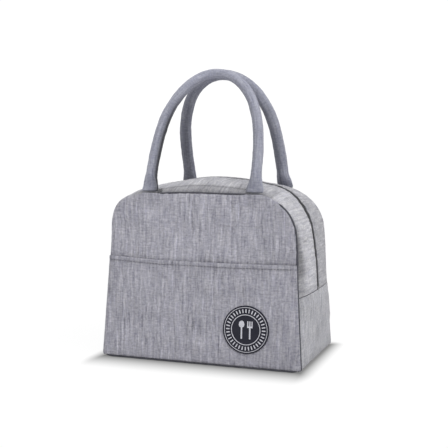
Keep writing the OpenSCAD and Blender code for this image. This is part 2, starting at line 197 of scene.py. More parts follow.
def mirror(half):
    """Factors that carry a front piece to the given half."""
    return np.array([1, -1 if half == "rear" else 1, 1])


def outline_half(z):
    """Half width of the face outline at height z, which may be just above the top."""
    z = np.minimum(z, HEIGHT - 0.02)
    rise = np.clip(z - CORNER_Z, 0, CORNER_R)
    arc = np.sqrt(np.maximum(CORNER_R * CORNER_R - rise ** 2, 0))
    straight = z < CORNER_Z + CORNER_R * math.sin(SIDE_LEAN)
    return np.where(straight, half_w(z), CORNER_X + arc)


def edge_distance(x, z):
    """Distance inward from the sides and the top of the face outline."""
    over_x, over_z = np.abs(x) - CORNER_X, z - CORNER_Z
    side = (half_w(z) - np.abs(x)) * math.cos(SIDE_LEAN)
    in_corner = (over_x > 0) & (over_z > over_x * math.tan(SIDE_LEAN))
    corner = CORNER_R - np.hypot(over_x, over_z)
    return np.where(in_corner, corner, np.minimum(side, HEIGHT - z))


# dips of the top: depth, x of the centre, width
TOP_DIPS = ((1.5, -73, 12), (0.9, -50, 12), (-0.6, -5, 22), (0.5, 62, 14))


def settle(points):
    """Uneven settling: eased lower corners, a fuller left shoulder, a dipping top seam."""
    x, y, z = np.moveaxis(points, -1, 0)
    radius = np.where(x < 0, 5.5, 3.5)
    near_side = ease((np.abs(x) - (half_w(z) - 20)) / 17)
    drop = radius - np.clip(z, 0, radius)
    inset = radius - np.sqrt(np.maximum(radius * radius - drop ** 2, 0))
    x = x - np.sign(x) * near_side * inset
    x = x + 1.2 * hump(z - 128, 27) * ease((x - 60) / 30)
    shoulder = 5.4 * hump(np.hypot(x + 92, z - 165), 16.0 * math.sqrt(2))
    x, z = x - 0.75 * shoulder, z + 0.62 * shoulder
    upper = ease((z - 120) / 55) * (1 - ease((z - 187) / 26))
    dip = sum(deep * hump(x - centre, width) for deep, centre, width in TOP_DIPS)
    z = z - upper * np.where(y < 0, 1.0, 0.6) * dip
    return np.stack([x, y, z], -1)


def near_feet(x, width=9.5, soft=6.0):
    """1 within width of a handle foot."""
    distance = np.min(np.abs(x[..., None] - FEET), -1)
    return 1 - ease((distance - width) / soft)


# ---------------------------------------------------------------- materials
class Shader:
    """A material with short ways to add and link its nodes."""

    def __init__(self, name):
        self.mat = bpy.data.materials.new(name)
        self.mat.use_nodes = True
        self.tree = self.mat.node_tree
        self.bsdf = self.tree.nodes["Principled BSDF"]

    def node(self, kind, **settings):
        new = self.tree.nodes.new(kind)
        for key, value in settings.items():
            setattr(new, key, value)
        return new

    def put(self, socket, value):
        if isinstance(value, bpy.types.NodeSocket):
            self.tree.links.new(value, socket)
        else:
            socket.default_value = value

    def math(self, operation, first, second=0.0, third=None):
        new = self.node("ShaderNodeMath", operation=operation)
        self.put(new.inputs[0], first)
        self.put(new.inputs[1], second)
        if third is not None:
            self.put(new.inputs[2], third)
        return new.outputs[0]

    def mapped(self, vector, scale, offset=(0, 0, 0)):
        new = self.node("ShaderNodeMapping")
        self.put(new.inputs["Vector"], vector)
        new.inputs["Scale"].default_value = scale
        new.inputs["Location"].default_value = offset
        return new.outputs[0]

    def noise_node(self, vector, scale, detail, rough=0.5, distortion=0.0):
        new = self.node("ShaderNodeTexNoise")
        self.put(new.inputs["Vector"], vector)
        new.inputs["Scale"].default_value = scale
        new.inputs["Detail"].default_value = detail
        new.inputs["Roughness"].default_value = rough
        new.inputs["Distortion"].default_value = distortion
        return new

    def noise(self, vector, scale=1.0, detail=2.0, **settings):
        return self.noise_node(vector, scale, detail, **settings).outputs["Fac"]

    def voronoi(self, vector, scale, feature="F1"):
        new = self.node("ShaderNodeTexVoronoi", feature=feature)
        self.put(new.inputs["Vector"], vector)
        new.inputs["Scale"].default_value = scale
        return new.outputs["Distance"]

    def span(self, value, low, high, to_low=0.0, to_high=1.0):
        """Maps low..high to to_low..to_high, clamped."""
        new = self.node("ShaderNodeMapRange")
        self.put(new.inputs["Value"], value)
        ends = {"From Min": low, "From Max": high, "To Min": to_low, "To Max": to_high}
        for key, end in ends.items():
            new.inputs[key].default_value = end
        return new.outputs[0]

    def mix(self, factor, first, second):
        new = self.node("ShaderNodeMix", data_type="RGBA")
        self.put(new.inputs["Factor"], factor)
        self.put(new.inputs[6], first)
        self.put(new.inputs[7], second)
        return new.outputs[2]

    def scaled(self, colour, factor):
        new = self.node("ShaderNodeVectorMath", operation="SCALE")
        self.put(new.inputs[0], colour)
        self.put(new.inputs["Scale"], factor)
        return new.outputs[0]

    def wave(self, value, rate):
        """Sine of a length, at rate radians per metre."""
        return self.math("SINE", self.math("MULTIPLY", value, rate))

    def split(self, vector):
        new = self.node("ShaderNodeSeparateXYZ")
        self.put(new.inputs[0], vector)
        return new.outputs

    def uv(self):
        return self.node("ShaderNodeUVMap", uv_map="UVMap").outputs[0]

    def place(self):
        return self.node("ShaderNodeTexCoord").outputs["Object"]

    def wear(self, low=0.505, high=0.56):
        """Rises from 0 to 1 at the convex edges."""
        return self.span(self.node("ShaderNodeNewGeometry").outputs["Pointiness"], low, high)

    def bump(self, height, strength, distance):
        new = self.node("ShaderNodeBump")
        new.inputs["Strength"].default_value = strength
        new.inputs["Distance"].default_value = distance
        self.put(new.inputs["Height"], height)
        return new.outputs[0]

    def set(self, **settings):
        for key, value in settings.items():
            self.put(self.bsdf.inputs[key.replace("_", " ")], value)
        return self.mat


def tint(colour, red, green, blue):
    return (colour[0] * red, colour[1] * green, colour[2] * blue)


def wave_rate(pitch):
    """Radians per metre for a pitch in mm."""
    return 2 * math.pi / (pitch * 0.001)


def woven(name, base, seed, slub=0.36, weft=0.21, mottle=0.09, pitch=0.62, sheen=0.25):
    """Slub-yarn cloth. The long yarn marks run along V, the short ones along U."""
    net = Shader(name)
    flat_uv = net.uv()
    thread_u, thread_v, _ = net.split(flat_uv)

    # the yarns wander a little
    bend = net.noise_node(flat_uv, scale=70, detail=2.0).outputs["Color"]
    wander = net.node("ShaderNodeVectorMath", operation="MULTIPLY_ADD")
    net.put(wander.inputs[0], bend)
    wander.inputs[1].default_value = (0.0022, 0.0022, 0.0)
    net.put(wander.inputs[2], flat_uv)

    def yarn(per_u, per_v, shift, detail=2.0, rough=0.55):
        """Noise stretched by its frequencies per metre, slid to its own place by shift."""
        offset = (seed + shift, seed * 0.37 - shift * 0.7, 0)
        vector = net.mapped(wander.outputs[0], (per_u, per_v, 1.0), offset)
        return net.noise(vector, detail=detail, rough=rough)

    fine = yarn(470, 46, 3, detail=3.0, rough=0.6)
    bars = yarn(230, 22, 9)
    wide = yarn(95, 12, 21)
    short_weft = yarn(150, 700, 33, detail=3.0, rough=0.6)
    long_weft = yarn(60, 300, 39)
    cloud = yarn(24, 24, 47, detail=3.0)
    grain = yarn(440, 380, 53, rough=0.7)
    # sparse dark and pale marks
    dark_up = net.span(yarn(340, 34, 61, detail=1.0), 0.58, 0.72)
    pale_up = net.span(yarn(330, 30, 67, detail=1.0), 0.58, 0.72)
    dark_across = net.span(yarn(48, 560, 71, detail=1.0), 0.62, 0.70)
    pale_across = net.span(yarn(60, 600, 79, detail=1.0), 0.63, 0.71)
    rate = wave_rate(pitch)
    weave = net.math("MULTIPLY", net.wave(thread_u, rate), net.wave(thread_v, rate))

    # brightness: noises swing about 1, then the marks are added with their weights
    value = 1.0
    for texture, weight in ((fine, slub * 2.2), (bars, slub * 1.3), (wide, slub * 0.7),
                            (short_weft, weft * 1.7), (long_weft, weft * 0.9),
                            (cloud, mottle * 2), (grain, 0.35 + slub * 1.4)):
        value = net.math("MULTIPLY_ADD", net.math("SUBTRACT", texture, 0.5), weight, value)
    for texture, weight in ((weave, 0.04), (dark_up, -slub * 0.62), (pale_up, slub * 0.75),
                            (dark_across, -weft * 0.5), (pale_across, weft * 0.4),
                            (net.wear(), 0.12)):
        value = net.math("MULTIPLY_ADD", texture, weight, value)
    # each piece's mesh carries painted shade: darker in seams, folds and shaded places,
    # lighter where it is below 0 (painted highlight)
    painted_shade = net.node("ShaderNodeAttribute", attribute_name="shade").outputs["Fac"]
    value = net.math("MULTIPLY", value, net.math("SUBTRACT", 1.0, painted_shade))
    light = (*tint(base, 1.10, 1.10, 1.07), 1.0)
    dark = (*tint(base, 0.88, 0.885, 0.95), 1.0)
    two_tone = net.mix(net.span(net.math("ADD", fine, short_weft), 0.8, 1.2), dark, light)
    colour = net.scaled(two_tone, net.math("MAXIMUM", value, 0.14))

    height = net.math("MULTIPLY_ADD", fine, 0.6, net.math("MULTIPLY", weave, 0.3))
    height = net.math("MULTIPLY_ADD", pale_up, 0.45, height)
    height = net.math("MULTIPLY_ADD", short_weft, 0.5, height)
    return net.set(
        Base_Color=colour, Roughness=net.span(fine, 0.2, 0.8, 0.80, 0.93),
        Normal=net.bump(height, strength=0.5, distance=0.0006),
        Sheen_Weight=sheen, Sheen_Roughness=0.45, Specular_IOR_Level=0.2,
        Sheen_Tint=(0.9, 0.9, 0.93, 1))


def zip_tape_cloth(name, base, pitch=0.9):
    """Dark cloth with diagonal ribs."""
    net = Shader(name)
    across, along, _ = net.split(net.uv())
    rib = net.wave(net.math("ADD", across, along), wave_rate(pitch))
    speck = net.noise(net.mapped(net.uv(), (900, 900, 1.0)))
    value = net.math("MULTIPLY_ADD", rib, 0.14, net.span(speck, 0.25, 0.75, 0.8, 1.2))
    return net.set(Base_Color=net.scaled(base, value), Roughness=0.85, Sheen_Weight=0.2,
                   Normal=net.bump(rib, strength=0.4, distance=0.0004))


def sewing_thread(name, base):
    """Thread with a slanting ply."""
    net = Shader(name)
    around, along, _ = net.split(net.uv())
    ply = net.wave(net.math("MULTIPLY_ADD", around, 1.4, along), rate=9000.0)
    return net.set(Base_Color=net.scaled(base, net.span(ply, -1, 1, 0.75, 1.2)),
                   Roughness=0.6, Sheen_Weight=0.3,
                   Normal=net.bump(ply, strength=0.5, distance=0.0002))


def zip_nylon(name):
    net = Shader(name)
    speck = net.noise(net.mapped(net.place(), (900, 900, 900)))
    colour = net.mix(speck, (0.018, 0.018, 0.021, 1), (0.05, 0.05, 0.056, 1))
    return net.set(Base_Color=net.mix(net.wear(0.51, 0.6), colour, (0.11, 0.11, 0.12, 1)),
                   Roughness=net.span(speck, 0.3, 0.7, 0.32, 0.5),
                   Normal=net.bump(speck, strength=0.15, distance=0.0002))


def foam(name):
    """Off-white foam with fine cells."""
    net = Shader(name)
    place = net.place()
    cells = net.voronoi(net.mapped(place, (1, 1, 1)), scale=1100)
    cloud = net.noise(place, scale=180, detail=3.0)
    return net.set(Base_Color=net.mix(cloud, (0.80, 0.80, 0.77, 1), (0.90, 0.90, 0.88, 1)),
                   Roughness=0.8, Subsurface_Weight=0.05,
                   Normal=net.bump(cells, strength=0.5, distance=0.0006))


def creased_foil(name):
    """Bright half-metallic film with paler crease lines."""
    net = Shader(name)
    place = net.place()
    cloud = net.noise(place, scale=42, detail=4.0, rough=0.55, distortion=0.8)
    lines = net.voronoi(place, scale=64, feature="DISTANCE_TO_EDGE")
    cells = net.voronoi(place, scale=110)
    crease = net.span(lines, 0.0, 0.10, 0.5, 0.0)
    height = net.math("ADD", net.math("ADD", cloud, crease),
                      net.math("MULTIPLY", cells, 0.5))
    rub = net.noise(place, scale=300)
    colour = net.mix(cloud, (0.78, 0.785, 0.79, 1), (0.93, 0.93, 0.935, 1))
    on_crease = net.span(crease, 0.2, 0.5, 0, 0.5)
    return net.set(Base_Color=net.mix(on_crease, colour, (0.97, 0.97, 0.97, 1)),
                   Metallic=0.30, Roughness=net.span(rub, 0.3, 0.7, 0.20, 0.32),
                   Normal=net.bump(height, strength=0.45, distance=0.0016),
                   Specular_IOR_Level=0.7)


def gunmetal(name):
    """Dark brushed metal, rubbed bright at the edges."""
    net = Shader(name)
    place = net.place()
    speck = net.noise(place, scale=900, detail=4.0)
    brush = net.noise(net.mapped(place, (3000, 3000, 160)))
    dark = net.mix(speck, (0.115, 0.118, 0.128, 1), (0.17, 0.172, 0.185, 1))
    return net.set(Base_Color=net.mix(net.wear(0.51, 0.62), dark, (0.48, 0.48, 0.50, 1)),
                   Metallic=1.0, Roughness=net.span(brush, 0.3, 0.7, 0.24, 0.42),
                   Normal=net.bump(brush, strength=0.12, distance=0.0002))


def patch_rubber(name):
    """Near-black rubber with slanting fine lines."""
    net = Shader(name)
    place = net.place()
    x, _, z = net.split(place)
    twill = net.wave(net.math("MULTIPLY_ADD", x, 0.8, z), wave_rate(pitch=1.3))
    speck = net.noise(place, scale=1500, detail=3.0)
    cloud = net.noise(place, scale=60, detail=3.0)
    lines = net.span(twill, -1, 1)
    colour = net.mix(lines, (0.006, 0.0065, 0.014, 1), (0.013, 0.0135, 0.024, 1))
    colour = net.mix(net.span(cloud, 0.35, 0.75, 0, 0.45), colour,
                     (0.020, 0.021, 0.033, 1))
    colour = net.mix(net.wear(0.53, 0.65), colour, (0.05, 0.05, 0.066, 1))
    height = net.math("MULTIPLY_ADD", twill, 0.4, net.math("MULTIPLY", speck, 0.6))
    return net.set(Base_Color=colour, Roughness=net.span(speck, 0.3, 0.7, 0.55, 0.75),
                   Normal=net.bump(height, strength=0.35, distance=0.0003),
                   Specular_IOR_Level=0.15)


def raised_print(name):
    """Pale print, worn grey in places."""
    net = Shader(name)
    place = net.place()
    speck = net.noise(place, scale=1300, detail=4.0, rough=0.6)
    cloud = net.noise(place, scale=240, detail=3.0)
    pale = net.mix(net.span(speck, 0.3, 0.7), (0.55, 0.55, 0.61, 1), (0.80, 0.80, 0.86, 1))
    worn = net.span(cloud, 0.55, 0.75, 0, 0.6)
    return net.set(Base_Color=net.mix(worn, pale, (0.34, 0.34, 0.40, 1)),
                   Roughness=net.span(speck, 0.3, 0.7, 0.5, 0.7),
                   Normal=net.bump(speck, strength=0.3, distance=0.0002))


# GREY, SIDE and TOP are one cloth: SIDE is painted a little darker and TOP lighter, as painted
# shade and highlight for how the light falls on each part
GREY = (0.452, 0.445, 0.498)
SIDE = (0.440, 0.438, 0.462)
TOP = (0.490, 0.485, 0.510)
HANDLE = (0.335, 0.342, 0.405)
LOOKS = {
    "front": woven("cloth_front", GREY, seed=1.0),
    "pocket": woven("cloth_pocket", GREY, seed=7.0),
    "rear": woven("cloth_rear", GREY, seed=13.0),
    "side": woven("cloth_side", SIDE, slub=0.40, weft=0.14, seed=19.0),
    "top_front": woven("cloth_top", TOP, weft=0.14, seed=29.0),
    # painted shade: the rear top strip is the top cloth toned darker
    "top_rear": woven("cloth_top_rear_painted_shade", tint(TOP, 0.84, 0.84, 0.84), weft=0.14, seed=83.0),
    "base": woven("cloth_base", GREY, seed=37.0),
    "handle_front": woven("cloth_handle", HANDLE, slub=0.20, weft=0.14, mottle=0.06,
                          pitch=0.55, seed=43.0),
    # painted shade: the rear handle is the handle cloth toned darker
    "handle_rear": woven("cloth_handle_rear_painted_shade", tint(HANDLE, 0.86, 0.86, 0.86), slub=0.26,
                         weft=0.16, mottle=0.07, pitch=0.55, seed=97.0),
    "cord": woven("seam_edge", (0.078, 0.078, 0.090), slub=0.25, weft=0.2, pitch=0.8,
                  sheen=0.1, seed=51.0),
    "tape": zip_tape_cloth("zip_tape_cloth", (0.022, 0.022, 0.026)),
    "coil": zip_nylon("zip_nylon"),
    "foam": foam("closed_cell_foam"),
    "foil": creased_foil("creased_foil"),
    "metal": gunmetal("gunmetal_casting"),
    "rubber": patch_rubber("patch_rubber"),
    "print": raised_print("patch_raised_print"),
    "thread": sewing_thread("sewing_thread", (0.20, 0.197, 0.22)),
    "dark_thread": sewing_thread("sewing_thread_dark", (0.13, 0.13, 0.15)),
}


# ---------------------------------------------------------------- mesh helpers
def add_mesh(name, verts, faces, uv, look, shade=None):
    """Object from points and uv in mm. shade is stored per point for the cloth shader."""
    data = bpy.data.meshes.new(name)
    data.from_pydata((verts * MM).tolist(), [], faces)
    layer = data.uv_layers.new(name="UVMap")
    corner = np.empty(len(data.loops), np.int32)
    data.loops.foreach_get("vertex_index", corner)
    layer.data.foreach_set("uv", (uv * MM)[corner].astype(np.float32).ravel())
    data.polygons.foreach_set("use_smooth", np.full(len(data.polygons), True))
    if shade is not None:
        attribute = data.attributes.new("shade", "FLOAT", "POINT")
        attribute.data.foreach_set("value", np.asarray(shade, np.float32).ravel())
    data.update()
    obj = bpy.data.objects.new(name, data)
    scene.collection.objects.link(obj)
    data.materials.append(LOOKS[look])
    return obj


def join_half(obj, half, *replaced):
    """Hides the CAD pieces that the piece replaces and bakes its placement into its mesh."""
    if replaced:
        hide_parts(*replaced)
    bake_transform(obj)


def quads(rows, columns, base, flip, wrap=False):
    """Faces of a grid whose first vertex is base."""
    i, j = np.meshgrid(np.arange(rows - 1), np.arange(columns if wrap else columns - 1),
                       indexing="ij")
    k = (j + 1) % columns
    corners = [i * columns + j, (i + 1) * columns + j, (i + 1) * columns + k, i * columns + k]
    grid = np.stack(corners, -1).reshape(-1, 4) + base
    return grid[:, ::-1] if flip else grid


def shell(name, points, thickness, uv, look, out, shade=None):
    """Closed thin sheet under a grid of outer points. out is a rough outward direction."""
    normal = np.cross(np.gradient(points, axis=0), np.gradient(points, axis=1))
    normal /= np.maximum(np.linalg.norm(normal, axis=-1, keepdims=True), 1e-9)
    flip = (normal * np.asarray(out, float)).sum() < 0
    if flip:
        normal = -normal
    rows, columns = points.shape[:2]
    count = rows * columns
    inner = points - normal * np.broadcast_to(thickness, (rows, columns))[..., None]
    verts = np.concatenate([points.reshape(-1, 3), inner.reshape(-1, 3)])
    last = (rows - 1) * columns
    here = np.array([i * columns for i in range(rows)]
                    + [last + j for j in range(1, columns)]
                    + [i * columns + columns - 1 for i in range(rows - 2, -1, -1)]
                    + list(range(columns - 2, 0, -1)))
    after = np.roll(here, -1)
    rim = np.stack([here, here + count, after + count, after], -1)
    faces = np.concatenate([quads(rows, columns, 0, flip),
                            quads(rows, columns, count, not flip),
                            rim[:, ::-1] if flip else rim])
    uv = uv.reshape(-1, 2)
    if shade is not None:
        shade = np.tile(shade.ravel(), 2)
    return add_mesh(name, verts, faces.tolist(), np.concatenate([uv, uv]), look, shade)


def lengths(line):
    """Length along a line up to each of its points."""
    steps = np.linalg.norm(np.diff(line, axis=0), axis=1)
    return np.concatenate([[0], np.cumsum(steps)])


def tube_faces(rings, sides, flip):
    """Wall and two end caps of a tube."""
    start = (rings - 1) * sides
    return (quads(rings, sides, 0, flip, wrap=True).tolist()
            + [list(range(sides)), [start + k for k in range(sides)][::-1]])


def tube(centres, radius, sides, up, up_radius=None):
    """Closed tube as vertices, faces and uv. up_radius is the radius along up."""
    count = len(centres)
    tangent = np.gradient(centres, axis=0)
    tangent /= np.linalg.norm(tangent, axis=1, keepdims=True)
    up = np.broadcast_to(np.asarray(up, float), centres.shape)
    up = up - (up * tangent).sum(1, keepdims=True) * tangent
    up = up / np.maximum(np.linalg.norm(up, axis=1, keepdims=True), 1e-9)
    side = np.cross(tangent, up)
    radius = np.broadcast_to(radius, (count,))
    up_radius = radius if up_radius is None else up_radius
    angle = np.arange(sides) * 2 * math.pi / sides
    verts = (centres[:, None]
             + side[:, None] * (radius[:, None] * np.cos(angle))[..., None]
             + up[:, None] * (up_radius[:, None] * np.sin(angle))[..., None])
    around = (angle * radius.mean())[None]
    uv = np.stack(np.broadcast_arrays(around, lengths(centres)[:, None]), -1)
    return verts.reshape(-1, 3), tube_faces(count, sides, True), uv.reshape(-1, 2)


def add_tubes(name, parts, look, shade=None):
    """Joins tubes into one object with its normals facing out."""
    verts, faces, uvs, count = [], [], [], 0
    for part_verts, part_faces, part_uv in parts:
        verts.append(part_verts)
        uvs.append(part_uv)
        faces += [[k + count for k in face] for face in part_faces]
        count += len(part_verts)
    obj = add_mesh(name, np.concatenate(verts), faces, np.concatenate(uvs), look, shade)
    work = bmesh.new()
    work.from_mesh(obj.data)
    bmesh.ops.recalc_face_normals(work, faces=work.faces)
    work.to_mesh(obj.data)
    work.free()
    return obj


def stitch_row(name, line, normals, look, start, end_gap, pitch, lift, length, radius):
    """Short thread spindles along a line, with their ends pulled in."""
    run = lengths(line)
    places = np.arange(start, run[-1] - end_gap, pitch)

    def along_line(values, at):
        return np.stack([np.interp(at, run, values[:, k]) for k in range(3)], -1)

    centres = along_line(line, places)
    tangents = along_line(line, places + 0.5) - centres
    tangents /= np.linalg.norm(tangents, axis=1, keepdims=True)
    outward = along_line(normals, places)
    stations = np.array([-0.5, -0.36, 0.0, 0.36, 0.5])
    radii = np.array([0.35, 0.85, 1.0, 0.85, 0.35]) * radius
    sink = radius * (0.2 + 0.75 * (np.abs(stations) * 2) ** 3)
    parts = []
    for centre, tangent, normal in zip(centres + outward * lift, tangents, outward):
        spine = centre + np.outer(stations * length, tangent) - np.outer(sink, normal)
        parts.append(tube(spine, radii, 5, normal))
    return add_tubes(name, parts, look)


# ---------------------------------------------------------------- cloth simulation
SIM_SCALE = 0.01
CLOTH = dict(
    quality=6, mass=0.25, tension_stiffness=22, compression_stiffness=22,
    shear_stiffness=6, bending_stiffness=0.35, tension_damping=12,
    compression_damping=12, bending_damping=1.0, air_damping=2.0,
    vertex_group_mass="pin", pin_stiffness=5,
)


def drape(points, out, seed, grow, pressure, gravity, frames, low, high, open_top=False):
    """How far cloth on a coarse grid moves along out, in mm, kept within low and high.

    Its border is pinned, but for the last row where open_top is set.
    """
    rows, columns = points.shape[:2]
    pins = np.ones((rows, columns))
    pins[1:-1, 1:-1] = 0
    if open_top:
        pins[-1, 2:-2] = 0
    random = np.random.default_rng(seed)
    start = points + out * (random.uniform(-0.25, 0.45, (rows, columns, 1)))
    data = bpy.data.meshes.new("drape")
    faces = quads(rows, columns, 0, False).tolist()
    data.from_pydata((start.reshape(-1, 3) * SIM_SCALE).tolist(), [], faces)
    obj = bpy.data.objects.new("drape", data)
    scene.collection.objects.link(obj)
    group = obj.vertex_groups.new(name="pin")
    for k in np.flatnonzero(pins):
        group.add([int(k)], 1.0, "REPLACE")
    cloth = obj.modifiers.new("Cloth", "CLOTH")
    settings = cloth.settings
    for key, value in CLOTH.items():
        setattr(settings, key, value)
    settings.shrink_min = -grow
    settings.use_pressure = True
    settings.uniform_pressure_force = pressure
    settings.effector_weights.gravity = gravity
    cloth.collision_settings.use_self_collision = False
    cloth.point_cache.frame_start, cloth.point_cache.frame_end = 1, frames
    scene.frame_start, scene.frame_end = 1, frames
    for step in range(1, frames + 1):
        scene.frame_set(step)
    evaluated = obj.evaluated_get(bpy.context.evaluated_depsgraph_get())
    result = evaluated.to_mesh()
    moved = np.empty(len(result.vertices) * 3)
    result.vertices.foreach_get("co", moved)
    moved = moved.reshape(rows, columns, 3) / SIM_SCALE
    evaluated.to_mesh_clear()
    bpy.data.objects.remove(obj)
    bpy.data.meshes.remove(data)
    scene.frame_set(1)
    shift = ((moved - points) * out).sum(-1)
    shift = np.where(np.isfinite(shift), shift, 0)
    middle, reach = (high + low) / 2, (high - low) / 2
    return middle + reach * np.tanh((shift - middle) / reach)


def sample(grid, row, column):
    """Look-up in a grid at fractions of its two sides."""
    rows, columns = grid.shape
    row = np.clip(row, 0, 1) * (rows - 1)
    column = np.clip(column, 0, 1) * (columns - 1)
    i = np.minimum(row.astype(int), rows - 2)
    j = np.minimum(column.astype(int), columns - 2)
    down, across = row - i, column - j
    down = ease(down) * 0.5 + down * 0.5
    across = ease(across) * 0.5 + across * 0.5
    near = grid[i, j] * (1 - down) * (1 - across) + grid[i + 1, j] * down * (1 - across)
    return near + grid[i, j + 1] * (1 - down) * across + grid[i + 1, j + 1] * down * across


# ---------------------------------------------------------------- front and rear faces
def face_grid(bottom, top, columns, inset, step):
    """x and z over the face outline, with lines crowded towards its edges."""
    rows = np.concatenate([bottom + BOTTOM_EDGE, np.arange(bottom + 6.6, top - 5, step),
                           top - TOP_EDGE])
    reach = (outline_half(rows) - inset)[:, None]
    x = np.concatenate([-reach + FACE_EDGE, np.linspace(-1, 1, columns) * (reach - 7.5),
                        reach - FACE_EDGE[::-1]], 1)
    return x, np.broadcast_to(rows[:, None], x.shape)


def face_relief(x, z, bottom, top, half, columns=42, rows=36, **cloth):
    """Simulated relief of a face piece, looked up at x and z."""
    heights = np.linspace(bottom, top, rows)
    grid_x = np.linspace(-1, 1, columns)[None] * (outline_half(heights)[:, None] - 1)
    grid_z = np.broadcast_to(heights[:, None], grid_x.shape)
    points = face_point(grid_x, grid_z, 0.0, half)
    grid = drape(points, face_out(half), frames=22, **cloth)
    across = (x / np.maximum(outline_half(z), 1) + 1) / 2
    return sample(grid, (z - bottom) / (top - bottom), across)


# how far the hem stands above its level: x, rise
HEM_RISE = np.array([
    (-112, 1.9), (-102, 1.7), (-85, 1.1), (-60, -0.2), (-43, -0.8), (0, -0.7),
    (40, -1.0), (62, -0.6), (85, -0.3), (112, 0.2),
])


def hem_shift(x):
    return np.interp(x, HEM_RISE[:, 0], HEM_RISE[:, 1])


def panel(half, seed):
    """Whole front or rear face of cloth."""
    x, z = face_grid(2.0, HEIGHT - 0.2, columns=78, inset=0.5, step=2.6)
    outline = edge_distance(x, z)
    edge = np.minimum(outline, z - 1.5)
    relief = face_relief(x, z, 2.0, HEIGHT - 1, half, seed=seed, grow=0.006,
                         pressure=0.25, gravity=0.4, low=-0.7, high=1.6)
    body = ease((edge - 3) / 14)
    out = 0.9 * ease(edge / 26) + 0.55 * noise(x / 95, z / 70, seed + 1) * body
    # a soft hollow under each handle foot and a swell beside it
    below = HEIGHT - z
    for foot_x in FEET:
        out -= 0.9 * hump(x - foot_x, 13) * hump(13 - below, 12) * ease(below / 5)
        out += 0.35 * hump(x - foot_x * 0.72, 9) * hump(26 - below, 20)
    out += 0.30 * creases(x / 62 + 0.25 * z / 60, z / 120, seed + 3, 3) * body
    # short puckers at the seams
    along = np.where(below < half_w(z) - np.abs(x), x, z)
    out += 0.22 * fade(edge, 5.5) * noise(along / 9, edge / 40, seed + 5, 2)
    out += relief * body
    foot = near_feet(x) * ease((16 - below) / 12)
    deep = 2.1 * (1 - 0.60 * foot)
    out -= rolled(outline, 4.2, 1.0) * deep + rolled(z - 2.0, 4.0, 1.3)
    # painted shade in the seam recess round the edge
    shade = 0.20 * fade(edge, 2.2)
    if half == "front":
        # the lower part lies flat behind the pocket
        under = 1 - ease((z - HEM_Z + 9) / 9)
        out = out * (1 - under) + under * (np.minimum(out, 0.0) - 0.05)
        over = z - HEM_Z - hem_shift(x)
        # painted shadow just above the pocket hem, and painted shade darker towards the right
        shade += 0.34 * fade(over, 1.6) * (over > -3) + 0.07 * ease((x - 45) / 45)
    points = settle(face_point(x, z, out, half))
    obj = shell(half + "_panel_cloth", points, 0.85, np.stack([x, z], -1), half,
                mirror(half) * (0, -1, 0), shade)
    join_half(obj, half, half + "_panel")


def front_pocket():
    """Slip pocket over the lower front, flat round the patch, with a stitched hem."""
    x, z = face_grid(2.2, HEM_Z, columns=84, inset=0.3, step=2.3)
    relief = face_relief(x, z, 2.2, HEM_Z, "front", columns=44, rows=26, seed=307,
                         grow=0.010, pressure=0.35, gravity=0.8, low=-0.3, high=2.0,
                         open_top=True)
    side = half_w(z) - np.abs(x)
    flat = ease((np.hypot(x - PATCH_X, z - PATCH_Z) - PATCH_R - 1.5) / 26)
    body = ease(side / 16) * ease((z - 4) / 16)
    swell = 0.75 * ease(side / 30) * ease(z / 24)
    swell += 0.45 * (0.6 + noise(x / 85, z / 60, 311)) + 0.9 * relief
    out = 0.30 + swell * body * (0.12 + 0.88 * flat)
    out += 0.38 * creases(x / 70 + 0.3, z / 105 + x / 300, 317, 3) * body * flat
    out += 0.20 * fade(side, 5.0) * noise(z / 9, side / 30, 319, 2)
    out += 0.18 * fade(z, 6.0) * noise(x / 9, z / 30, 323, 2)
    # the mouth gapes most at its middle
    mouth = np.clip(x / (half_w(HEM_Z) + 2), -1, 1) * math.pi / 2
    gape = ease((z - (HEM_Z - 34)) / 34) * np.cos(mouth) ** 0.7
    out += gape * (0.55 + 0.35 * noise(x / 60, 0, 331, 2))
    hem = ease((z - (HEM_Z - HEM_H - 0.3)) / 0.9)
    out += 0.55 * hem - 0.42 * hump(z - HEM_STITCH_Z, 0.75)
    out += 0.10 * hem * noise(x / 5.5, z / 30, 337, 2)
    out -= rolled(HEM_Z - z, 1.0, 0.75)
    out -= rolled(side, 4.4, 2.75) + rolled(z - 2.2, 3.6, 1.7)
    out = np.maximum(out, -1.55)
    right = ease((x - 45) / 45)
    # slightly darker overall, with painted shade at the side seams, at the mouth's top edge,
    # in the hem's stitch groove, along the bottom and towards the lower right
    shade = (0.05 + 0.20 * fade(side, 2.2) + 0.30 * fade(HEM_Z - z, 0.9)
             + 0.16 * hump(z - HEM_STITCH_Z, 0.8) + 0.16 * fade(z, 6)
             + 0.10 * right * ease((75 - z) / 40))
    height = z + hem_shift(x) * ease((z - 25) / (HEM_Z - 25))
    points = settle(face_point(x, height, 1.1 + out, "front"))
    obj = shell("front_pocket_cloth", points, 0.9 + 0.5 * hem * ease(side / 3),
                np.stack([x, z], -1), "pocket", (0, -1, 0), shade)
    join_half(obj, "front", "front_pocket")

    line = points[np.argmin(np.abs(z[:, 0] - HEM_STITCH_Z))]
    normals = np.broadcast_to(face_out("front"), line.shape)
    obj = stitch_row("pocket_hem_stitches", line, normals, "dark_thread", start=4.5,
                     end_gap=4.5, pitch=3.3, lift=0.22, length=2.6, radius=0.26)
    join_half(obj, "front", "pocket_hem_stitching")


for half, seed in (("front", 101), ("rear", 211)):
    panel(half, seed)
front_pocket()

# ---------------------------------------------------------------- top strips beside the zip
FOLD = 10.8  # distance from the seam of a painted dark line along the front strip, where a fold would cast shade


def zip_gap(along):
    """Half gap of the cloth at the zip."""
    widening = 0.95 + 1.5 * hump(along - PATH_LEN + SIDE_LEN + 34, 34)
    widening = widening + 0.14 * noise(along / 30, 0, 91, 2)
    return 3.05 + widening * ease((along - ZIP_START - 50) / 20)


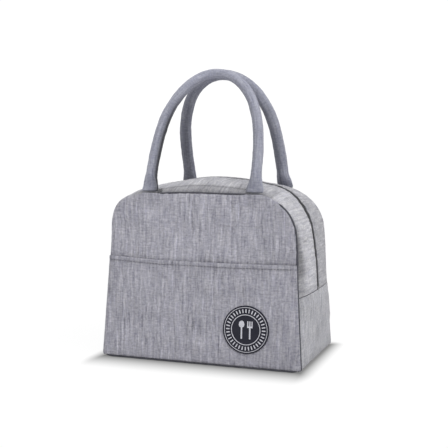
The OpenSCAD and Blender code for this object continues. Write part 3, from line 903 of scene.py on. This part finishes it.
def seam_y(along):
    return half_d(path(along)[1]) - 2.0


def strip_rows(start, end, step):
    inner = np.linspace(start + 7, end - 7, int((end - start - 14) / step))
    return np.concatenate([start + FACE_EDGE, inner, (end - FACE_EDGE)[::-1]])


def top_strip_relief(along, part, half, seed):
    """Simulated relief, with part running 0 to 1 from the seam to the zip."""
    rows = np.linspace(ZIP_START + 0.5, PATH_LEN - ZIP_START - 0.5, 96)
    outer, inner = seam_y(rows)[:, None], zip_gap(rows)[:, None]
    y = outer + (inner - outer) * np.linspace(0, 1, 14)[None]
    coarse = np.broadcast_to(rows[:, None], y.shape)
    grid = drape(strip_point(coarse, -y, 0.0) * mirror(half), path(coarse)[2], seed=seed,
                 grow=0.012, pressure=0.30, gravity=0.5, frames=20, low=-0.8, high=1.0)
    return sample(grid, (along - ZIP_START) / (PATH_LEN - 2 * ZIP_START), part)


def front_strip_shade(x, z, seam, on_top):
    """Painted shade and highlight of the front strip."""
    right = x > 0
    reach = 2.5 + 5.0 * ease((138 - z) / 34)
    # painted shade in the gutter beside the right front seam
    shade = ((0.32 + 0.24 * ease((z - 84) / 20)) * right * (1 - ease((z - 132) / 34))
             * (1 - ease((seam - reach) / (4 + reach))))
    # painted shade along the top, darkest near the seam
    shade += (0.08 + 0.20 * hump(seam, 9.0)) * on_top
    # painted shadow, a dark slanting slit beside the left foot
    mark = hump(x + SEWN_X - 11.0 + 0.33 * seam, 1.9, 4)
    shade += 1.25 * mark * (1 - ease((seam - 9.5) / 3)) * on_top
    # painted dark line at the fold, darker before it and a little lighter past it
    shade += 0.30 * hump(seam - FOLD, 2.0) * on_top * (np.abs(x) < FOOT_X)
    past_fold = 0.06 * ease((seam - FOLD) / 4) * (1 - ease((seam - 34) / 16))
    sides_of_fold = 0.10 * (1 - ease((seam - FOLD) / 2)) - past_fold
    shade += sides_of_fold * on_top * (np.abs(x) < FOOT_X + 10)
    # painted highlight along the middle of the right side
    return shade - 0.14 * right * hump(seam - 36, 18) * ease((170 - z) / 30)


def top_strip(half, seed):
    """Cloth strip from a face seam to the zip, with a stitched fold over the tape."""
    rows = strip_rows(ZIP_START + 0.35, PATH_LEN - ZIP_START - 0.35, 2.0)
    outer, inner = seam_y(rows)[:, None], zip_gap(rows)[:, None]
    between = np.linspace(0, 1, 20)
    zip_edge = np.array([5.6, 4.6, 4.0, 3.4, 2.6, 1.6, 0.8, 0.3, 0.0])
    y = np.concatenate([outer - STRIP_EDGE,
                        (outer - 6.8) + ((inner + 7.0) - (outer - 6.8)) * between,
                        inner + zip_edge], 1)
    along = np.broadcast_to(rows[:, None], y.shape)
    seam, gap = outer - y, y - inner
    end = np.minimum(along - ZIP_START, PATH_LEN - ZIP_START - along)
    x, z, normal = path(along)
    body = ease(seam / 12) * ease(gap / 7) * ease(end / 10)
    relief = top_strip_relief(along, seam / (outer - inner), half, seed)
    out = 0.35 * body + relief * body + 0.35 * noise(along / 60, y / 60, seed + 1) * body
    # cross ribs: the strip is slightly gathered at its two sewn edges
    rib = noise(along / 7.5, y / 70, seed + 2, 2) * ease(seam / 2) * ease(end / 5)
    out += 0.36 * rib * (fade(seam, 16) + 0.8 * fade(gap, 14))
    out += 0.35 * creases(along / 34, y / 90, seed + 3, 3) * body
    out -= 1.5 * near_feet(x, 8.9, 1.6) * (normal[..., 2] > 0.5) * fade(seam, 7)
    low_right = ease((118 - z) / 40) * (x > 0)
    out -= rolled(seam, 4.0, 1.5)
    out -= (0.5 + 2.4 * low_right) * (1 - ease(seam / 12)) * ease(end / 4)
    # folded edge over the tape, held down by a row of stitches
    out += 0.22 * ease((6.0 - gap) / 1.2) * ease((along - ZIP_START - 56) / 20)
    out -= 0.35 * hump(gap - 3.6, 0.6) * ease((along - ZIP_START - 50) / 20)
    out -= rolled(gap, 0.9, 0.6) + rolled(end, 2.2, 0.9)
    points = settle(strip_point(along, -y, out) * mirror(half))
    uv = np.stack([along, y + (400 if half == "rear" else 0)], -1)
    # painted shade in the seams, at the strip's ends and at the zip edge
    shade = 0.22 * fade(seam, 2.5) + 0.16 * fade(end, 2.0) + 0.14 * fade(gap, 1.2)
    if half == "front":
        shade += front_strip_shade(x, z, seam, normal[..., 2] > 0.9)
    obj = shell(half + "_gusset_cloth", points, 0.85, uv, "top_" + half, normal, shade)
    join_half(obj, half, half + "_gusset")

    # stitches along the folded edge, away from the slider's run
    column = len(STRIP_EDGE) + len(between) + list(zip_edge).index(3.4)
    keep = rows > ZIP_START + 66
    obj = stitch_row(half + "_zip_topstitch", points[keep, column], normal[keep, column],
                     "thread", start=3, end_gap=8, pitch=3.2, lift=0.12, length=2.5,
                     radius=0.24)
    join_half(obj, half)


for half, seed in (("front", 401), ("rear", 503)):
    top_strip(half, seed)

# ---------------------------------------------------------------- lower sides and base
# side, sign of its x
SIDES = (("left", -1), ("right", 1))


def side_cloth(side, sign, seed):
    """Lower side, from the base up to the top strips."""
    bottom, top = 2.2, ZIP_START - 0.35
    rows = strip_rows(bottom, top, 2.4)
    reach = seam_y(rows)[:, None]
    y = np.concatenate([-reach + STRIP_EDGE, np.linspace(-1, 1, 54) * (reach - 7),
                        reach - STRIP_EDGE[::-1]], 1)
    along = np.broadcast_to(rows[:, None], y.shape)
    seam = reach - np.abs(y)
    above, below = top - along, along - bottom
    body = ease(seam / 14) * ease(above / 10) * ease(below / 12)
    coarse = np.linspace(bottom, top, 22)
    coarse_y = np.linspace(-1, 1, 36)[None] * seam_y(coarse)[:, None]
    coarse = np.broadcast_to(coarse[:, None], coarse_y.shape)
    grid = drape(strip_point(coarse, coarse_y, 0.0), path(coarse)[2], seed=seed,
                 grow=0.008, pressure=0.25, gravity=0.6, frames=20, low=-0.6, high=1.2)
    relief = sample(grid, below / (ZIP_START - 2.55), (y / reach + 1) / 2)
    out = 0.4 * body + relief * body + 0.5 * noise(y / 80, along / 60, seed + 1) * body
    out += 0.40 * creases(y / 58, along / 80 + y / 200, seed + 2, 3) * body
    out += 0.20 * fade(seam, 6) * noise(along / 9, y / 60, seed + 3, 2)
    out += 0.25 * fade(above, 7) * noise(y / 8, along / 60, seed + 4, 2)
    out -= rolled(seam, 4.0, 1.9) + rolled(above, 2.4, 1.0) + rolled(below, 3.6, 1.4)
    points = settle(strip_point(along, y, out) * np.array([-sign, 1, 1]))
    # painted shade at the seams, and a painted shaded gutter beside the front seam
    shade = 0.20 * fade(seam, 2.4) + 0.18 * fade(above, 2.0) + 0.14 * fade(below, 5)
    shade += 0.20 * hump(np.maximum(seam - 1, 0), 7.5) * ease((along - 40) / 30) * (y < 0)
    uv = np.stack([y + (900 if side == "right" else 600), along], -1)
    obj = shell(side + "_side_cloth", points, 0.85, uv, "side", (sign, 0, 0), shade)
    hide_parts(side + "_side_panel")
    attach(obj, "bag_body")


def base_cloth():
    reach_x, reach_y = half_w(1) - 2.6, half_d(1) - 3.0
    x, y = np.meshgrid(np.linspace(-1, 1, 70) * reach_x, np.linspace(-1, 1, 44) * reach_y,
                       indexing="ij")
    edge = np.minimum(reach_x - np.abs(x), reach_y - np.abs(y))
    z = 0.15 + 0.16 * (1 + noise(x / 50, y / 50, 701)) + rolled(edge, 5, 1.0)
    obj = shell("base_cloth", settle(np.stack([x, y, z], -1)), 0.7, np.stack([x, y], -1),
                "base", (0, 0, -1))
    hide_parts("base_panel")
    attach(obj, "bag_body")


for (side, sign), seed in zip(SIDES, (601, 613)):
    side_cloth(side, sign, seed)
base_cloth()


# ---------------------------------------------------------------- seam cords
def seam_cord(half):
    """Cord round a face: three runs broken at the handle feet, and one along the base."""
    radius, foot_gap = 1.05, 9.9
    left, right = MIDDLE - SEWN_X, MIDDLE + SEWN_X
    runs = ((3.0, left - foot_gap), (left + foot_gap, right - foot_gap),
            (right + foot_gap, PATH_LEN - 3.0))
    parts = []
    for start, end in runs:
        along = np.linspace(start, end, int((end - start) / 2.4))
        x, z, normal = path(along)
        # at the front the folded edge shows along the top and down the right
        show = 0 * along
        if half == "front":
            show = ease((along - MIDDLE + FOOT_X) / 6) * 1.15
            show *= 1 - ease((along - MIDDLE - FOOT_X) / 10)
            show += ease((along - PATH_LEN + SIDE_LEN + 46) / 24)
        inset = 1.75 - 1.15 * show
        points = face_point(x - normal[:, 0] * inset, z - normal[:, 2] * inset, -1.75, half)
        if start == 3.0:
            points[:2, 2] = np.maximum(points[:2, 2], 2.0)
        uneven = 1 + 0.12 * noise(along / 11, 0, 41 if half == "rear" else 31, 2)
        swollen = (radius + 0.22 * np.minimum(show, 1)) * uneven
        parts.append(tube(settle(points), swollen, 8, normal))
    reach = half_w(0) - 5.2
    x = np.linspace(-reach, reach, 96)
    points = face_point(x, 0 * x + 1.16, -0.9, half)
    points[:, 2] += np.clip((np.abs(x) - (half_w(0) - 11)) / 6, 0, 1) ** 2 * 1.2
    uneven = 1 + 0.10 * noise(x / 12, 0, 61, 2)
    parts.append(tube(points, radius * uneven, 8, (0, 0, 1)))
    obj = add_tubes(half + "_seam_cord", parts, "cord")
    join_half(obj, half, half + "_binding")


def side_seam_cords(side, sign):
    """Crosswise join above the lower side, and the side edge of the base."""
    reach = half_d(75) - 4
    y = np.linspace(-reach, reach, 60)
    points = strip_point(np.full_like(y, ZIP_START), y, -1.15) * np.array([-sign, 1, 1])
    uneven = 1 + 0.15 * noise(y / 9, 0, 71 + sign, 2)
    radius = 0.62 * (0.55 + 0.45 * ease((y + 62) / 24)) * uneven
    join = tube(settle(points), radius, 8, (sign, 0, 0))
    reach = half_d(0) - 5
    y = np.linspace(-reach, reach, 56)
    points = np.stack([0 * y + sign * (half_w(0) - 3.4), y, 1.25 + 0 * y], -1)
    radius = 1 + 0.1 * noise(y / 11, 0, 77 + sign, 2)
    edge = tube(settle(points), radius, 8, (0, 0, 1))
    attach(add_tubes(side + "_side_seam_cord", [join, edge], "cord"), "bag_body")


for half in HALVES:
    seam_cord(half)
for side, sign in SIDES:
    side_seam_cords(side, sign)


# ---------------------------------------------------------------- zip
def zip_tape(half):
    rows = np.linspace(ZIP_START + 1.0, PATH_LEN - ZIP_START - 2.2, 190)
    columns = np.array([0.25, 1.15, 2.5, 5, 8, 10.4, 10.9])
    along, y = np.meshgrid(rows, columns, indexing="ij")
    # clear of the slider's post along its run, and a little higher at the top of that run
    run = 1 - ease((along - ZIP_START - 54) / 8)
    y = np.where(y < 0.5, y + 0.70 * run, y)
    out = -1.42 + 0.40 * ease((along - ZIP_START - 24) / 12) * run
    out += 0.06 * noise(along / 12, y / 12, 801) * (1 - run) - 0.12 * ease(y - 10)
    points = settle(strip_point(along, -y, out) * mirror(half))
    obj = shell(half + "_zip_tape_cloth", points, 0.5, np.stack([y, along], -1), "tape",
                path(along)[2])
    join_half(obj, half, half + "_zip_tape")


def zip_coil(half):
    """Flattened spiral of teeth."""
    start, end = ZIP_START + 6.8, PATH_LEN - ZIP_START - 3.8
    pitch, steps = 1.3, 9
    turn = np.arange(int((end - start) / pitch) * steps + 1) / steps
    along = start + turn * pitch
    angle = 2 * math.pi * turn + (math.pi if half == "rear" else 0)
    run = 1 - ease((along - ZIP_START - 54) / 22)
    centre_y, radius_y = 1.36, 1.12
    out = -0.30 + 0.20 * run + (0.62 + 0.08 * run) * np.sin(angle)
    points = strip_point(along, -(centre_y + radius_y * np.cos(angle)), out)
    up = path(along)[2] * 0.3 + (0, 1, 0)
    wire = tube(settle(points * mirror(half)), 0.28, 5, up)
    join_half(add_tubes(half + "_zip_teeth", [wire], "coil"), half, half + "_zip_coil")


for half in HALVES:
    zip_tape(half)
    zip_coil(half)


# ---------------------------------------------------------------- handles
def handle_line(rings=260):
    """x, rise and length along the arch from right foot to left, and its full length."""
    climb = np.sin(np.linspace(0, 1, 900) * math.pi / 2)
    spread = FOOT_X * np.sqrt(np.maximum(1 - climb ** (2 / 0.64), 0))
    middle = CROWN_X * climb * climb
    x = np.concatenate([spread + middle, (middle - spread)[::-1][1:]])
    rise = np.concatenate([HANDLE_LEN * climb, (HANDLE_LEN * climb)[::-1][1:]])
    run = lengths(np.stack([x, rise], -1))
    # more rings near the two feet
    part = np.linspace(0, 1, rings)
    along = run[-1] * (part - 0.055 * np.sin(2 * math.pi * part))
    return np.interp(along, run, x), np.interp(along, run, rise), along, run[-1]


def angle_from(angle, centre):
    """Signed angle from centre, within half a turn."""
    return np.angle(np.exp(1j * (angle - centre)))


def handle_shade(angle, part, foot, half):
    """Painted shade and highlight: darker along the inner side, partly its sewn seam, and on
    the rear handle, lighter on the outer side of the left leg and over the crown, dark where
    each foot meets the bag.
    """
    top = hump(part - 0.5, 0.17)
    if half == "rear":
        left = ease((part - 0.40) / 0.2)
        shade = 0.36 * hump(angle_from(angle, 1.95), 0.62) + 0.10 * left - 0.09 * (1 - left)
        shade = shade * (1 - top) + 0.10 * fade(foot, 10)
    else:
        left = ease((part - 0.40) / 0.25)
        shade = (0.05 + 0.66 * left) * hump(angle_from(angle, math.pi), 0.98, 3) * (1 - top)
        shade -= 0.26 * left * hump(angle_from(angle, 0), 1.2)
        inner = hump(angle_from(angle, math.pi + 0.05), 0.42)
        shade += 0.34 * left * (1 - top) * inner
    # painted highlight over the crown, most on its underside
    shade -= top * (0.10 + 0.50 * hump(angle_from(angle, math.pi), 1.25))
    # painted shade where each foot meets the bag
    return shade + 0.50 * fade(foot, 1.3)


def handle_swell(angle, along, foot, half, seed):
    """Radius factor: unevenness, gathers above the feet and the sewn inner edge."""
    swell = 1 + 0.030 * noise(along / 26, angle / 2.2, seed)
    swell += 0.016 * noise(along / 9, angle / 1.1, seed + 1, 2)
    gathers = np.sin(angle * 7 + 1.5 * noise(along / 40, 0, seed + 2))
    swell += 0.055 * gathers * fade(foot, 11) * ease(foot / 3)
    edge = angle_from(angle, math.pi + (-0.4 if half == "rear" else 0.35))
    return swell - 0.075 * hump(edge, 0.09) + 0.030 * hump(edge - 0.26, 0.16)


def handle(half, right, left, crown, seed=None, thin=0.0, trim=0.0, sides=36):
    """Padded arch, given its half widths. The core is thinner and trimmed at its ends."""
    cloth = thin == 0
    x, rise, along, total = handle_line()
    # the legs stand a little off the ideal arch
    foot = np.minimum(along, total - along)
    first = along < total / 2
    stand = ease((foot - 1) / 15)
    if half == "rear":
        x = x + np.where(first, -stand * (1 - ease((foot - 52) / 40)),
                         stand * (1 - ease((foot - 30) / 45)))
    else:
        x = x - np.where(first, 0.0, 1.5 * stand * (1 - ease((foot - 80) / 45)))
    rise = rise * (1 + 0.9 / HANDLE_LEN)
    keep = foot >= trim
    x, rise, along, foot = x[keep], rise[keep], along[keep], foot[keep]
    step_x, step_rise = np.gradient(x), np.gradient(rise)
    size = np.hypot(step_x, step_rise)
    step_x, step_rise = step_x / size, step_rise / size
    if cloth:
        # the ends stand square on the bag
        step_x[0], step_rise[0], step_x[-1], step_rise[-1] = 0, 1, 0, -1
    grown = ease((foot - 0.5) / 21.0)
    part = along / total
    middle = hump(part - 0.5, 0.19)
    wide = np.where(part < 0.5, right, left) * (1 - middle) + crown * middle
    wide = np.convolve(np.pad(wide, 12, "edge"), np.ones(25) / 25, "valid")
    half_wide = FOOT_HALF + (wide - FOOT_HALF) * grown - thin
    thick = (6.3 if half == "rear" else 6.2) * (1 - 0.16 * middle)
    half_thick = 1.25 + (thick - 1.25) * ease((foot - 0.5) / 18)
    half_thick = np.maximum(half_thick - thin * np.minimum(1, 0.2 + foot / 12), 0.4)

    angle, run = np.meshgrid(np.arange(sides) * 2 * math.pi / sides, along)
    swell, shade = 1, 0 * angle
    if cloth:
        shade = handle_shade(angle, run / total, foot[:, None], half)
        swell = handle_swell(angle, run, foot[:, None], half, seed)
    outward = half_wide[:, None] * np.cos(angle) * swell
    flatter = np.where(np.sin(angle) < 0, (0.42 + 0.58 * ease(foot / 11))[:, None], 1.0)
    across = half_thick[:, None] * np.sin(angle) * swell * flatter
    x = (x + np.sign(x) * (1 - grown) * FOOT_OUT)[:, None] + step_rise[:, None] * outward
    rise = rise[:, None] - step_x[:, None] * outward
    cos, sin = math.cos(HANDLE_LEAN), math.sin(HANDLE_LEAN)
    y = HINGE_Y + rise * sin + across * cos
    z = HINGE_Z + rise * cos - across * sin
    verts = settle(np.stack([x, y, z], -1) * mirror(half)).reshape(-1, 3)
    uv = np.stack([angle * 6.6 + (300 if half == "rear" else 0), run], -1).reshape(-1, 2)
    name = half + ("_handle_cloth" if cloth else "_handle_foam_cord")
    obj = add_tubes(name, [(verts, tube_faces(len(along), sides, False), uv)],
                    "handle_" + half if cloth else "foam", shade)
    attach(obj, half + "_handle")
    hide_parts(half + ("_handle_cover" if cloth else "_handle_core"))


# sewn end of a handle: height, half width, half thickness
TAB = np.array([
    (165.5, 7.8, 0.25), (166.2, 8.5, 0.4), (168, 8.9, 0.45), (172, 9.0, 0.45),
    (176, 9.0, 0.45), (178.2, 9.0, 0.45), (179.7, 9.0, 0.5), (180.5, 8.8, 0.45),
])


def handle_tabs(half):
    """Flat sewn ends of the handle, between the face and the top strip."""
    height, width, thickness = TAB.T
    parts = []
    for foot_x in FEET:
        points = face_point(np.full_like(height, foot_x), height, -1.75, half)
        parts.append(tube(settle(points), width, 20, mirror(half) * (0, -1, 0), thickness))
    obj = add_tubes(half + "_handle_tabs", parts, "handle_front")
    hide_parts(half + "_handle_anchors")
    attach(obj, half + "_half")


CORE = dict(thin=1.6, sides=16, trim=16)
handle("front", right=5.6, left=6.2, crown=5.1, seed=901)
handle("rear", right=6.7, left=6.9, crown=5.7, seed=947)
handle("front", right=5.6, left=6.0, crown=5.1, **CORE)
handle("rear", right=6.6, left=6.6, crown=5.5, **CORE)
for half in HALVES:
    handle_tabs(half)

# ---------------------------------------------------------------- foam and foil inside
# endings of the object's name and of the name of the piece it replaces
OBJECT_END = {"foam": "_foam_sheet", "foil": "_foil_lining"}
NODE_END = {"foam": "_foam", "foil": "_lining"}


def crumple(across, up, seed, crease_size, swell_size):
    """Depth of the foil's creases and soft hollows."""
    ridges = creases(across / crease_size[0], up / crease_size[1], seed, 2.5)
    swells = noise(across / swell_size[0], up / swell_size[1], seed + 1)
    return 0.9 * ridges + 0.3 * (1 + swells)


def inner_face(half, look, replaced, out, thickness, inset, columns, step, seed=None):
    x, z = face_grid(inset, HEIGHT - inset, columns, inset + 0.6, step)
    edge = np.minimum(edge_distance(x, z) - inset, z - inset)
    if look == "foam":
        out = out - 0.5 * rolled(edge, 2.5, 1.0)
    else:
        out = out - crumple(x, z, seed, (26, 30), (60, 50)) * ease(edge / 6)
    points = settle(face_point(x, z, out, half))
    obj = shell(half + OBJECT_END[look], points, thickness, np.stack([x, z], -1), look,
                mirror(half) * (0, -1, 0))
    join_half(obj, half, *replaced)


def inner_strip(name, look, start, end, columns, step, flip, inner_y=None, seed=None):
    """Sheet under the strip, from its -y edge to inner_y, or right across if that's None."""
    margin, out, thickness = (6.0, -2.4, 2.2) if look == "foam" else (7.6, -5.0, 0.25)
    rows = np.linspace(start, end, int((end - start) / step))
    part = np.linspace(0, 1, columns)[None]
    reach = (half_d(path(rows)[1]) - margin)[:, None]
    width = reach + (reach if inner_y is None else inner_y)
    y = -reach + width * part
    along = np.broadcast_to(rows[:, None], y.shape)
    out = out + 0 * y
    if look == "foil":
        edge = np.minimum(np.minimum(part, 1 - part) * np.abs(width),
                          np.minimum(along - start, end - along))
        out -= crumple(along, y, seed, (28, 26), (50, 50)) * ease(edge / 6)
    points = settle(strip_point(along, y, out) * flip)
    return shell(name, points, thickness, np.stack([along, y], -1), look,
                 path(along)[2] * flip)


def inner_base(look, inset, z, thickness, columns, rows):
    x, y = np.meshgrid(np.linspace(-1, 1, columns) * (half_w(4) - inset),
                       np.linspace(-1, 1, rows) * (half_d(4) - inset), indexing="ij")
    z = z + 0 * x
    if look == "foil":
        z += 0.8 * creases(x / 30, y / 28, 1103, 2.5)
    obj = shell("base" + OBJECT_END[look], np.stack([x, y, z], -1), thickness,
                np.stack([x, y], -1), look, (0, 0, -1))
    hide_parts("base" + NODE_END[look])
    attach(obj, "bag_body")


FAR_END = PATH_LEN - ZIP_START
TOP_LAYERS = {
    "foam": dict(start=ZIP_START + 1.5, end=FAR_END - 1.5, inner_y=-12.5, columns=8, step=6.0),
    "foil": dict(start=ZIP_START + 0.5, end=FAR_END - 0.5, inner_y=-6.5, columns=20, step=3.4),
}
SIDE_LAYERS = {
    "foam": dict(start=5.6, end=ZIP_START - 1.5, columns=12, step=7.0),
    "foil": dict(start=6.6, end=ZIP_START - 0.6, columns=30, step=3.4, seed=1081),
}
for half, face_seed, top_seed in (("front", 1013, 1051), ("rear", 1020, 1060)):
    inner_face(half, "foam", [half + "_foam_lower", half + "_foam_upper"], out=-3.1,
               thickness=2.0, inset=5.2, columns=34, step=6.5)
    inner_face(half, "foil", [half + "_lining"], out=-5.3, thickness=0.25, inset=7.2,
               columns=56, step=3.6, seed=face_seed)
    for look, layer in TOP_LAYERS.items():
        obj = inner_strip(half + "_top" + OBJECT_END[look], look, flip=mirror(half),
                          seed=top_seed, **layer)
        join_half(obj, half, half + "_gusset" + NODE_END[look])
for side, sign in SIDES:
    for look, layer in SIDE_LAYERS.items():
        obj = inner_strip(side + "_side" + OBJECT_END[look], look,
                          flip=np.array([-sign, 1, 1]), **layer)
        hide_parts(side + "_side" + NODE_END[look])
        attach(obj, "bag_body")
inner_base("foam", inset=6.5, z=1.5, thickness=2.4, columns=20, rows=14)
inner_base("foil", inset=7.6, z=4.6, thickness=0.25, columns=60, rows=36)


# ---------------------------------------------------------------- CAD pieces that stay
def dress(node, look, bevel, segments=2):
    """Gives a CAD piece its material, a bevel in metres and smooth shading."""
    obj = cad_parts[node]
    obj.data.materials.clear()
    obj.data.materials.append(LOOKS[look])
    rounding = obj.modifiers.new("Bevel", "BEVEL")
    rounding.width = bevel
    rounding.segments = segments
    rounding.limit_method = "ANGLE"
    rounding.angle_limit = math.radians(35)
    obj.data.polygons.foreach_set("use_smooth", np.full(len(obj.data.polygons), True))
    obj.modifiers.new("Normals", "WEIGHTED_NORMAL").keep_sharp = True


dress("patch_disc", "rubber", bevel=0.00035, segments=3)
for node in ("patch_rings", "patch_dashes", "patch_spoon", "patch_fork"):
    dress(node, "print", bevel=0.0001)
for node in ("slider_body", "pull_tab", "zip_top_stops", "zip_bottom_stop"):
    dress(node, "metal", bevel=0.00025)

# ---------------------------------------------------------------- floor, light and camera
# painted contact shadow round the base: axis, direction, half size of the base, reach
CONTACT = ((0, -1, 0.1115, 0.016), (0, 1, 0.1115, 0.016),
           (1, -1, 0.0690, 0.047), (1, 1, 0.0690, 0.018))


def add_floor():
    """Floor that glows pale to the camera, with a painted contact shadow round the base, and
    reflects as grey to everything else.
    """
    data = bpy.data.meshes.new("floor")
    data.from_pydata([(-8, -8, 0), (8, -8, 0), (8, 8, 0), (-8, 8, 0)], [], [(0, 1, 2, 3)])
    floor = bpy.data.objects.new("floor", data)
    scene.collection.objects.link(floor)
    net = Shader("pale_floor")
    camera_ray = net.node("ShaderNodeLightPath").outputs["Is Camera Ray"]
    place = net.split(net.place())
    away = []
    for axis, sign, size, reach in CONTACT:
        over = net.math("SUBTRACT", net.math("MULTIPLY", place[axis], sign), size)
        over = net.math("MAXIMUM", net.math("DIVIDE", over, reach), 0.0)
        away.append(net.math("POWER", over, 2.0))
    total = net.math("ADD", net.math("ADD", away[0], away[1]),
                     net.math("ADD", away[2], away[3]))
    closeness = net.math("SUBTRACT", 1.0, net.math("SQRT", total))
    closeness = net.math("POWER", net.math("MAXIMUM", closeness, 0.0), 1.4)
    # painted shadow: the glow dims near the base
    glow = net.math("MULTIPLY_ADD", closeness, -0.72, 0.93)
    net.set(Base_Color=net.mix(camera_ray, (0.45, 0.45, 0.45, 1), (0.075, 0.075, 0.075, 1)),
            Roughness=0.9, Specular_IOR_Level=0.0, Emission_Color=(1, 1, 1, 1),
            Emission_Strength=net.math("MULTIPLY", camera_ray, glow))
    data.materials.append(net.mat)


def add_world():
    """White surroundings, brighter to the camera than as a light."""
    world = bpy.data.worlds.new("studio")
    world.use_nodes = True
    scene.world = world
    tree = world.node_tree
    background = tree.nodes["Background"]
    background.inputs["Color"].default_value = (1, 1, 1, 1)
    light_path = tree.nodes.new("ShaderNodeLightPath")
    strength = tree.nodes.new("ShaderNodeMapRange")
    tree.links.new(light_path.outputs["Is Camera Ray"], strength.inputs["Value"])
    strength.inputs["To Min"].default_value = 0.50
    strength.inputs["To Max"].default_value = 1.05
    tree.links.new(strength.outputs[0], background.inputs["Strength"])


def add_sun(name, energy, angle, source):
    """Sun of a given width in degrees, shining from the direction of source."""
    light = bpy.data.lights.new(name, "SUN")
    light.energy = energy
    light.angle = math.radians(angle)
    obj = bpy.data.objects.new(name, light)
    obj.rotation_euler = Vector(source).to_track_quat("Z", "Y").to_euler()
    scene.collection.objects.link(obj)


def add_camera():
    lens = bpy.data.cameras.new("camera")
    lens.sensor_width = 36
    lens.lens = 69.634
    lens.clip_start = 0.01
    camera = bpy.data.objects.new("camera", lens)
    camera.location = (0.33118, -0.90340, 0.23080)
    camera.rotation_euler = (math.radians(90 - 5.2240), 0, math.radians(19.8827))
    scene.collection.objects.link(camera)
    scene.camera = camera


add_floor()
add_world()
# a large soft source above, to the right and the front, and a weak one from the rear left
add_sun("soft_key", energy=2.2, angle=70, source=(0.56, -0.42, 0.71))
add_sun("soft_fill", energy=0.8, angle=90, source=(-0.55, 0.62, 0.56))
add_camera()
scene.view_settings.view_transform = "Standard"
